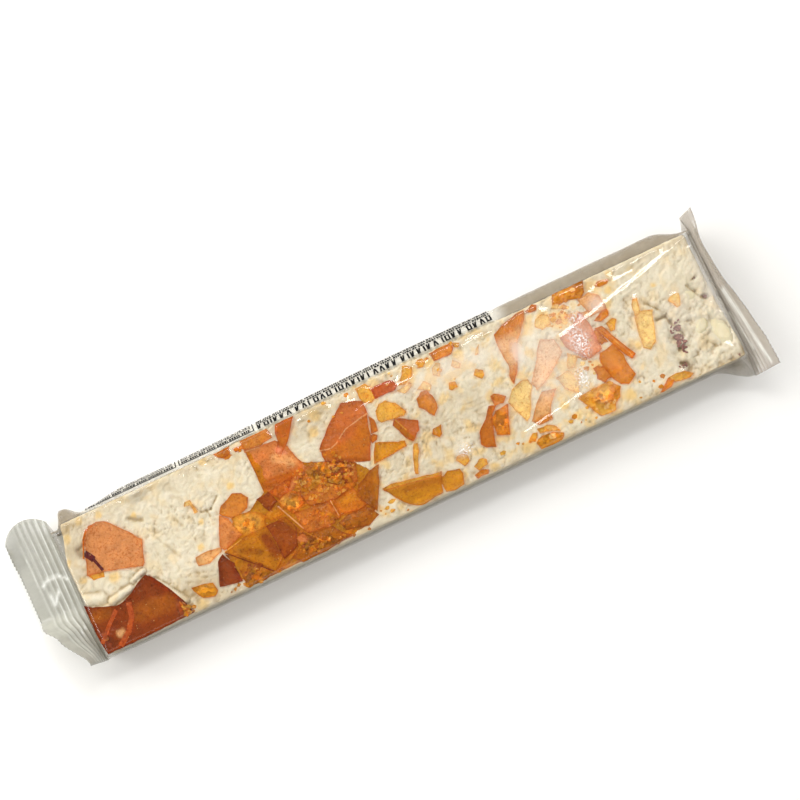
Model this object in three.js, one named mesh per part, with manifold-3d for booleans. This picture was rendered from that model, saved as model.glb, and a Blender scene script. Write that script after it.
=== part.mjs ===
// A soft nougat bar with caramel shards pressed into its top, sealed in a clear flow pack.
// The sealed pack is one closed solid: the film body drawn round the bar, the two crimped end
// fins, and the shards that stand up under the film. Units are millimetres, +Z is up, +X runs
// along the bar, and the origin is the middle of the flat underside.
import * as THREE from "three";
import { mergeVertices } from "three/addons/utils/BufferGeometryUtils.js";
import Module from "manifold-3d";

// Driving dimensions of the bar and its film.
const NOUGAT_LENGTH = 189;
const NOUGAT_WIDTH = 37.4;
const PACK_HEIGHT = 13.4;
const FILM_GAP = 0.3;
const EDGE_ROUND = 0.5;

// How far the film stands out from the bar's long sides, half way up.
const NEAR_BULGE = 0.45;
const FAR_BULGE_LEFT = 2.1;
const FAR_BULGE_RIGHT = 3.4;

// Over the last stretch of the bar the bulge changes to what each corner shows.
const CORNER_REACH = 9.5;
const CORNER_BULGE = { leftNear: 0.2, rightNear: 5.2, rightFar: 0.2 };

// The far left corner is pinched, stands out as a small ear and is then tucked in to the fin.
const PINCH_BULGE = 0.7;
const EAR_BULGE = 3.6;
const TUCK_DEPTH = 1.4;

// The crimped fins: a ridged seal, then a plain margin with a zigzag cut.
const FIN_ROOT_HEIGHT = 6;
const FIN_ROOT_GAP = 0.5;
const FIN_THICKNESS = 0.8;
const CRIMP_PITCH = 1.6;
const CRIMP_RIDGES = 6;
const CRIMP_DEPTH = 0.45;
const FIN_MARGIN = 3.1;
const TOOTH_DEPTH = 0.6;

// How steeply the fins stand up from level, in degrees. The left one sags, its near third is bent
// up and twists on to its tip; the right one stands, steepest beyond its middle.
const LEFT_SAG = -5;
const LEFT_NEAR_BEND = 50;
const LEFT_NEAR_TWIST = 30;
const LEFT_FAR_CURL = 18;
const RIGHT_NEAR_LIFT = 66;
const RIGHT_STEEPEST_LIFT = 89;
const RIGHT_FAR_LIFT = 84;
const STEEPEST_AT = 0.5;

// The left fin's far end is a round lobe, widest this far out from the root.
const LOBE_MIDDLE = 5.9;
const LOBE_HALF = 7.1;

// Each fin's end of the bar, its reach to the near and far sides, its far lobe and its lift.
const FINS = {
  left: { side: -1, near: 19.5, far: 17.2, lobe: 7, lift: leftFinLift },
  right: { side: 1, near: 24.5, far: 23.3, lobe: 0, lift: rightFinLift },
};

// Mesh density: stations along the straight body, and faces across and up the section.
const BODY_STATIONS = 20;
const CORNER_STATIONS = 8;
const FACES_ACROSS = 20;
const FACES_UP = 4;

// Caramel shards: how far they stand up, how deep they are rooted, how uneven their corners are,
// then for each its middle, longest and shortest width, turn in degrees and number of corners.
const SHARD_RISE = 0.75;
const SHARD_ROOT = 1.5;
const SHARD_UNEVEN = 0.3;
const SHARDS = [
  { x: -82.5, y: -11.5, long: 25, short: 13, turn: 0, corners: 5 },
  { x: -81.5, y: 6.5, long: 18, short: 14, turn: -15, corners: 6 },
  { x: -48.5, y: 1.5, long: 12, short: 7.5, turn: 60, corners: 5 },
  { x: -55.5, y: -11.5, long: 9, short: 6.5, turn: 80, corners: 4 },
  { x: -46.5, y: -11.8, long: 17, short: 12, turn: -10, corners: 6 },
  { x: -33, y: 8.5, long: 22, short: 13, turn: 105, corners: 6 },
  { x: -24, y: -1.5, long: 23, short: 11, turn: -10, corners: 7 },
  { x: -13, y: -8, long: 12, short: 7, turn: 60, corners: 3 },
  { x: -31, y: -14.3, long: 17, short: 7, turn: 8, corners: 5 },
  { x: -19, y: -12.5, long: 12, short: 8, turn: 15, corners: 5 },
  { x: -12.5, y: 7.3, long: 18, short: 14, turn: 20, corners: 6 },
  { x: 2.2, y: 14.5, long: 8, short: 3.6, turn: 0, corners: 4 },
  { x: 0.7, y: 9, long: 9, short: 6, turn: -10, corners: 5 },
  { x: 3.5, y: 2.2, long: 8.5, short: 5, turn: -45, corners: 4 },
  { x: -3.5, y: 0, long: 11, short: 5, turn: -15, corners: 4 },
  { x: -1, y: -13.6, long: 17, short: 8, turn: -8, corners: 6 },
  { x: 8.6, y: -15, long: 6.5, short: 6, turn: 40, corners: 4 },
  { x: 11, y: 6, long: 7.5, short: 5, turn: 100, corners: 5 },
  { x: 27.3, y: -5, long: 12, short: 6, turn: 75, corners: 5 },
  { x: 22.3, y: -7.5, long: 10, short: 5, turn: 60, corners: 4 },
  { x: 38.5, y: 10.5, long: 18, short: 8, turn: 62, corners: 5 },
  { x: 44.5, y: 4, long: 12, short: 8.5, turn: 45, corners: 4 },
  { x: 39, y: -8, long: 10, short: 8, turn: 60, corners: 4 },
  { x: 34.3, y: -4.2, long: 9.5, short: 6.5, turn: 120, corners: 5 },
  { x: 55, y: 3.5, long: 12, short: 10, turn: 30, corners: 5 },
  { x: 57.8, y: 16.4, long: 11, short: 4.2, turn: 0, corners: 4 },
  { x: 62.5, y: 11.7, long: 7, short: 6, turn: 20, corners: 4 },
  { x: 61.5, y: -5.8, long: 12.5, short: 6, turn: -75, corners: 5 },
  { x: 54.5, y: -12.3, long: 12, short: 9.5, turn: 10, corners: 6 },
  { x: 73.3, y: -1, long: 10, short: 6, turn: 75, corners: 5 },
  { x: 74, y: -16.3, long: 11, short: 3.6, turn: 5, corners: 4 },
];

const COLOURS = { sealedBar: 0xe6dcc3 };

const bodyHalfLength = NOUGAT_LENGTH / 2 + FILM_GAP;
const bodyHalfWidth = NOUGAT_WIDTH / 2 + FILM_GAP;
const finRoot = bodyHalfLength + FIN_ROOT_GAP;
const crimpLength = CRIMP_PITCH * CRIMP_RIDGES;

const { degToRad, lerp, smoothstep } = THREE.MathUtils;

// The left fin's lift at a place across it, from -1 (near) to 1 (far).
function leftFinLift(across) {
  const bend = LEFT_NEAR_BEND * smoothstep(-across, 0.12, 0.5);
  const twist = LEFT_NEAR_TWIST * smoothstep(-across, 0.45, 1);
  const farCurl = LEFT_FAR_CURL * smoothstep(across, 0.5, 1);
  return degToRad(LEFT_SAG + bend + twist + farCurl);
}

// The right fin's lift at a place across it.
function rightFinLift(across) {
  const rise = lerp(RIGHT_NEAR_LIFT, RIGHT_STEEPEST_LIFT, smoothstep(across, -1, STEEPEST_AT));
  return degToRad(lerp(rise, RIGHT_FAR_LIFT, smoothstep(across, STEEPEST_AT, 1)));
}

// How much of the far left corner's tuck there is at a place along the bar, from 0 to 1.
function tuckShare(x) {
  return smoothstep(-x, 91, 93);
}

// How far the film stands out from the far side along the left half of the bar.
function farLeftBulge(x) {
  const straight = lerp(FAR_BULGE_LEFT, FAR_BULGE_RIGHT, smoothstep(x, -60, 10));
  const pinched = lerp(straight, PINCH_BULGE, smoothstep(-x, 72, 84.5));
  const ear = lerp(pinched, EAR_BULGE, smoothstep(-x, 85.5, 90));
  return lerp(ear, 0, tuckShare(x));
}

// How far the film stands out from the near or far side at a place along the bar.
function sideBulge(x, isFar) {
  if (isFar && x < 0) return farLeftBulge(x);
  const farBulge = lerp(FAR_BULGE_LEFT, FAR_BULGE_RIGHT, smoothstep(x, -60, 10));
  const middle = isFar ? farBulge : NEAR_BULGE;
  const corner = (x < 0 ? "left" : "right") + (isFar ? "Far" : "Near");
  const share = smoothstep(Math.abs(x), bodyHalfLength - CORNER_REACH, bodyHalfLength);
  return lerp(middle, CORNER_BULGE[corner], share);
}

// A point of the film body: across runs from -1 (near) to 1 (far), up from 0 to 1.
function bodyPoint(x, across, up) {
  const onSide = Math.abs(across) > 1 - 1e-6;
  const onEdge = onSide && Math.abs(2 * up - 1) > 1 - 1e-6;
  const bulge = onSide ? sideBulge(x, across > 0) * (1 - (2 * up - 1) ** 2) : 0;
  const inset = onEdge ? EDGE_ROUND : 0;
  const tuck = across > 0 ? TUCK_DEPTH * tuckShare(x) : 0;
  const y = across * (bodyHalfWidth + bulge - inset - tuck);
  const z = up * PACK_HEIGHT + (up < 0.5 ? inset : -inset);
  return new THREE.Vector3(x, y, z);
}

// A point of a crimped fin, a distance out from its root.
function finPoint(fin, out, across, up, ridge) {
  const lift = fin.lift(across);
  const off = ridge + (up - 0.5) * FIN_THICKNESS;
  const lobe = fin.lobe * Math.sqrt(1 - ((out - LOBE_MIDDLE) / LOBE_HALF) ** 2);
  const x = finRoot + out * Math.cos(lift) - off * Math.sin(lift);
  const y = across * (across < 0 ? fin.near : fin.far + lobe);
  const z = FIN_ROOT_HEIGHT + out * Math.sin(lift) + off * Math.cos(lift);
  return new THREE.Vector3(fin.side * x, y, z);
}

// The places along one fin, from its root outwards, with the height of the crimp at each.
function finStations(fin) {
  const stations = [];
  for (let half = 0; half <= 2 * CRIMP_RIDGES; half += 1) {
    const ridge = half % 2 ? CRIMP_DEPTH / 2 : -CRIMP_DEPTH / 2;
    stations.push({ fin, out: (half * CRIMP_PITCH) / 2, ridge, teeth: 0 });
  }
  stations.push({ fin, out: crimpLength + FIN_MARGIN / 3, ridge: 0, teeth: 0 });
  stations.push({ fin, out: crimpLength + FIN_MARGIN, ridge: 0, teeth: TOOTH_DEPTH });
  return stations;
}

// The places along the film body, closer together where the corners change.
function bodyStations() {
  const straight = bodyHalfLength - CORNER_REACH;
  const places = [];
  for (let i = 1; i < BODY_STATIONS; i += 1) {
    places.push(lerp(-straight, straight, i / BODY_STATIONS));
  }
  const ends = [];
  for (let i = 0; i <= CORNER_STATIONS; i += 1) {
    ends.push(straight + (CORNER_REACH * i) / CORNER_STATIONS);
  }
  const mirrored = ends.map((x) => -x).reverse();
  return [...mirrored, ...places, ...ends].map((x) => ({ x }));
}

// The whole pack as a box of many faces, each vertex moved to its place on the film.
function packGeometry() {
  const stations = [
    ...finStations(FINS.left).reverse(),
    ...bodyStations(),
    ...finStations(FINS.right),
  ];
  const box = new THREE.BoxGeometry(1, 2, 1, stations.length - 1, FACES_ACROSS, FACES_UP);
  const position = box.getAttribute("position");
  for (let i = 0; i < position.count; i += 1) {
    const station = stations[Math.round((position.getX(i) + 0.5) * (stations.length - 1))];
    const across = position.getY(i);
    const up = position.getZ(i) + 0.5;
    const column = Math.round(((across + 1) / 2) * FACES_ACROSS);
    const tooth = station.fin && column % 2 ? station.teeth : 0;
    const point = station.fin
      ? finPoint(station.fin, station.out - tooth, across, up, station.ridge)
      : bodyPoint(station.x, across, up);
    position.setXYZ(i, point.x, point.y, point.z);
  }
  return box;
}

// One shard: a flat plate with uneven corners, rooted in the bar and standing just proud of it.
function shardGeometry({ x, y, long, short, turn, corners }) {
  const outline = [];
  for (let k = 0; k < corners; k += 1) {
    const angle = (2 * Math.PI * (k + SHARD_UNEVEN * Math.sin(x + y * k))) / corners;
    outline.push(new THREE.Vector2((Math.cos(angle) * long) / 2, (Math.sin(angle) * short) / 2));
  }
  const plate = new THREE.ExtrudeGeometry(new THREE.Shape(outline), {
    depth: SHARD_ROOT + SHARD_RISE,
    bevelEnabled: false,
  });
  plate.rotateZ(degToRad(turn));
  plate.translate(x, y, PACK_HEIGHT - SHARD_ROOT);
  return plate;
}

const wasm = await Module();
wasm.setup();

// A closed geometry as a solid that can be joined to others.
function solidOf(geometry) {
  const bare = new THREE.BufferGeometry();
  bare.setAttribute("position", geometry.getAttribute("position"));
  bare.setIndex(geometry.index);
  const merged = mergeVertices(bare, 1e-4);
  return new wasm.Manifold(
    new wasm.Mesh({
      numProp: 3,
      vertProperties: new Float32Array(merged.getAttribute("position").array),
      triVerts: new Uint32Array(merged.index.array),
    }),
  );
}

// A joined solid back as a geometry.
function geometryOf(solid) {
  const mesh = solid.getMesh();
  const geometry = new THREE.BufferGeometry();
  geometry.setAttribute("position", new THREE.BufferAttribute(mesh.vertProperties, 3));
  geometry.setIndex(new THREE.BufferAttribute(mesh.triVerts, 1));
  geometry.computeVertexNormals();
  return geometry;
}

// The sealed bar: the pack with every shard joined on.
function sealedBar() {
  let solid = solidOf(packGeometry());
  for (const shard of SHARDS) solid = solid.add(solidOf(shardGeometry(shard)));
  const material = new THREE.MeshStandardMaterial({
    color: COLOURS.sealedBar,
    roughness: 0.35,
    metalness: 0,
  });
  const mesh = new THREE.Mesh(geometryOf(solid), material);
  mesh.name = "sealed_bar";
  return mesh;
}

const wrappedBar = new THREE.Group();
wrappedBar.name = "wrapped_nougat_bar";
wrappedBar.add(sealedBar());

export default wrappedBar;
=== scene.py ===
"""Looks of the wrapped nougat bar: soft nougat, caramel shards and nut bits inside a clear crimped film.

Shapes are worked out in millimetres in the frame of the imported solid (+X along the bar, +Y across it to
the printed side, +Z up, origin in the middle of the underside) and are scaled to metres when meshed.
"""

import math
from collections import namedtuple
from functools import partial

import bpy
import numpy as np
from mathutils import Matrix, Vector, geometry, noise


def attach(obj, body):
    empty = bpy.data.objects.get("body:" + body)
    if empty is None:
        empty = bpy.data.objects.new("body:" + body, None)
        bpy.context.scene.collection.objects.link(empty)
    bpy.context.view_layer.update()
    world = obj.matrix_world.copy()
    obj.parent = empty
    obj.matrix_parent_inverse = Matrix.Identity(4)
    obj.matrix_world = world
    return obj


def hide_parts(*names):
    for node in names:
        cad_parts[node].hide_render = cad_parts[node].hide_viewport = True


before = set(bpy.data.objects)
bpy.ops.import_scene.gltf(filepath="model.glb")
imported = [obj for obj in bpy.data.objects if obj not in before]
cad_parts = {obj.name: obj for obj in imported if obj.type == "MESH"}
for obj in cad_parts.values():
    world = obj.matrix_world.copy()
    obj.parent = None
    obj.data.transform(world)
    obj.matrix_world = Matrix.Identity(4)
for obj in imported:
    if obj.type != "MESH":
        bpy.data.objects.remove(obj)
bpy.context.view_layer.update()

MM = 0.001
SEED = 7
WHITE = (1.0, 1.0, 1.0, 1.0)

# What the film's haze looks like on each of its parts: share of haze and sRGB colour. On the far side beyond
# the print and on the near side it is painted shade, for the shadowed gap seen through the film; on the fins'
# crests it is a painted highlight.
HazeAndPaintedLight = namedtuple("HazeAndPaintedLight", "share colour")
PRINT_HAZE = HazeAndPaintedLight(0.35, (228, 224, 210))
FAR_PAINTED_SHADE = HazeAndPaintedLight(0.75, (142, 129, 106))
NEAR_PAINTED_SHADE = HazeAndPaintedLight(0.4, (112, 98, 72))
PAINTED_CREST_HIGHLIGHT = HazeAndPaintedLight(0.8, (240, 241, 236))

# The nougat slab: its size, and how its sides are cut, its ends slant and its far side swells.
NOUGAT_LENGTH = 189.0
NOUGAT_WIDTH = 37.4
NOUGAT_TOP = 12.9
NOUGAT_BOTTOM = 0.2
NOUGAT_ROUND = 1.3
NOUGAT_GRID = (560, 112, 14)
CUT_DEPTH = 0.25
LEFT_SLANT = 2.4
RIGHT_SLANT = -1.0
SWELL = 0.45

# Unevenness of the nougat's top: the height, depth or width of each kind, and where it is pressed flat.
NOUGAT_SETTLED = 0.1
NOUGAT_HIGHEST = 0.35
KNEADING = 0.4
DIMPLES = 0.3
PRESSED_FROM = 0.06
PRESSED_SHARE = 0.25
GRAIN = 0.07
WRINKLES = 0.15
CREVICES = 0.26
CREVICE_WIDTH = 0.05
FLAKES = 0.18
FLAKE_DROP = 0.1
FLAKE_RISE = 1.0 - FLAKE_DROP
LUMPS = 1.3
LUMP_GRAIN = 0.3
LUMP_WARP = 1.3
FOLD_RISE = 0.3
FOLD_GAP = 0.35
FOLD_GAP_DEPTH = 0.3

# Where the nougat crumbles: from here along and across at the right end, and beside a line.
CRUMBLY_FROM = (75.5, 79.0)
CRUMBLY_NEAR_SIDE = (-6.5, -1.5)
RAGGED_LINE = ((-75, -5), (-67, -17))
RAGGED_REACH = 3.4
RAGGED_SHARE = 0.6

# The nougat's bed under a shard: its rim, the shard's depth in it and what shows of the shard's side.
BED_MARGIN = 0.4
BED_OVERLAP = 0.12
RIM_SHOWING = 0.08

# The film: how far it stands off the bar, and its bulge half way up each long side.
FILM_GAP = 0.3
FILM_CLEAR = 0.07
FILM_BOTTOM = 0.02
NEAR_BULGE = 0.45
FAR_BULGE_LEFT = 2.1
FAR_BULGE_RIGHT = 3.4
CORNER_REACH = 9.5
CORNER_BULGE = {"left_near": 0.2, "right_near": 5.2, "right_far": 0.2}
PINCH_BULGE = 0.7
EAR_BULGE = 3.6
TUCK_DEPTH = 1.4
BODY_STATIONS = 400
TENT_STATIONS = 7
FILM_ACROSS = 72
FILM_UP = 12
WALL_ACROSS = 0.9999
CRUMPLE = 0.12

# The film's top: room over a shard, its limit, how it drops at the edge, and how it is drawn taut.
SHARD_CLEAR = 0.1
FILM_HIGHEST = 0.9
EDGE_DROP = 0.9
EDGE_REACH = 1.4
TAUT_ROUNDS = 260
TAUT_PULL = 0.0006
CREASE_FADE = 1.5

# The crimped fins.
FIN_ROOT_HEIGHT = 6.0
FIN_ROOT_GAP = 0.5
FIN_THICKNESS = 0.22
CRIMP_PITCH = 1.6
CRIMP_RIDGES = 6
CRIMP_DEPTH = 0.42
CRIMP_EASE = 0.8
BROAD_CREST = 4.0
FINE_CREST = 12.0
FIN_SLACK = 0.35
FIN_MARGIN = 3.1
FIN_STEP = 0.27
TOOTH_DEPTH = 0.45
FIN_HAZE = 0.6
LEFT_SAG = -5.0
LEFT_NEAR_BEND = 50.0
LEFT_NEAR_TWIST = 30.0
LEFT_FAR_CURL = 18.0
LOBE_MIDDLE = 5.9
LOBE_HALF = 7.1
RIGHT_NEAR_LIFT = 66.0
RIGHT_STEEPEST_LIFT = 89.0
RIGHT_FAR_LIFT = 84.0
STEEPEST_AT = 0.5

HALF_LENGTH = NOUGAT_LENGTH / 2
HALF_WIDTH = NOUGAT_WIDTH / 2
BODY_END = HALF_LENGTH + FILM_GAP
FIN_ROOT = BODY_END + FIN_ROOT_GAP
CRIMP_LENGTH = CRIMP_PITCH * CRIMP_RIDGES
FIN_LENGTH = CRIMP_LENGTH + FIN_MARGIN

# Caramel colours, in sRGB.
TINTS = {
    "dark": (148, 62, 10),
    "deep": (146, 60, 8),
    "brown": (174, 90, 14),
    "olive": (187, 115, 12),
    "rust": (209, 121, 26),
    "red": (204, 110, 40),
    "cherry": (206, 102, 46),
    "orange": (220, 140, 48),
    "bright": (230, 145, 32),
    "tan": (231, 152, 82),
    "apricot": (227, 155, 95),
    "amber": (225, 155, 28),
    "honey": (208, 141, 16),
    "gold": (240, 187, 74),
    "pale": (252, 223, 146),
    "peach": (240, 188, 124),
    "blush": (253, 216, 176),
    "pink": (238, 166, 122),
    "plum": (104, 42, 46),
}

# How much red, green and blue is left at a shard's rim.
RIM_FADE = np.array([0.84, 0.64, 0.48])

# How plates are cut: the space between points inside, how ragged the edge is and how wavy the top.
Cut = namedtuple("Cut", "spacing jitter wave")
SHARD_CUT = Cut(0.75, 0.12, 0.1)
SLIVER_CUT = Cut(0.5, 0.03, 0.02)
CRUMB_CUT = Cut(0.7, 0.06, 0.12)
FLAKE_CUT = Cut(0.5, 0.05, 0.1)
EDGE_STEP = 1.2
INNER_JITTER = 0.3
INNER_MARGIN = 0.45
FLARE = 0.14

# How a shard's top lies: its fall for each millimetre from a ridge, or the most that it tilts.
RIDGE_FALL = 0.05
TILT_ALONG = 0.016
TILT_ACROSS = 0.018
SLIVER_THICK = 0.5

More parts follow.
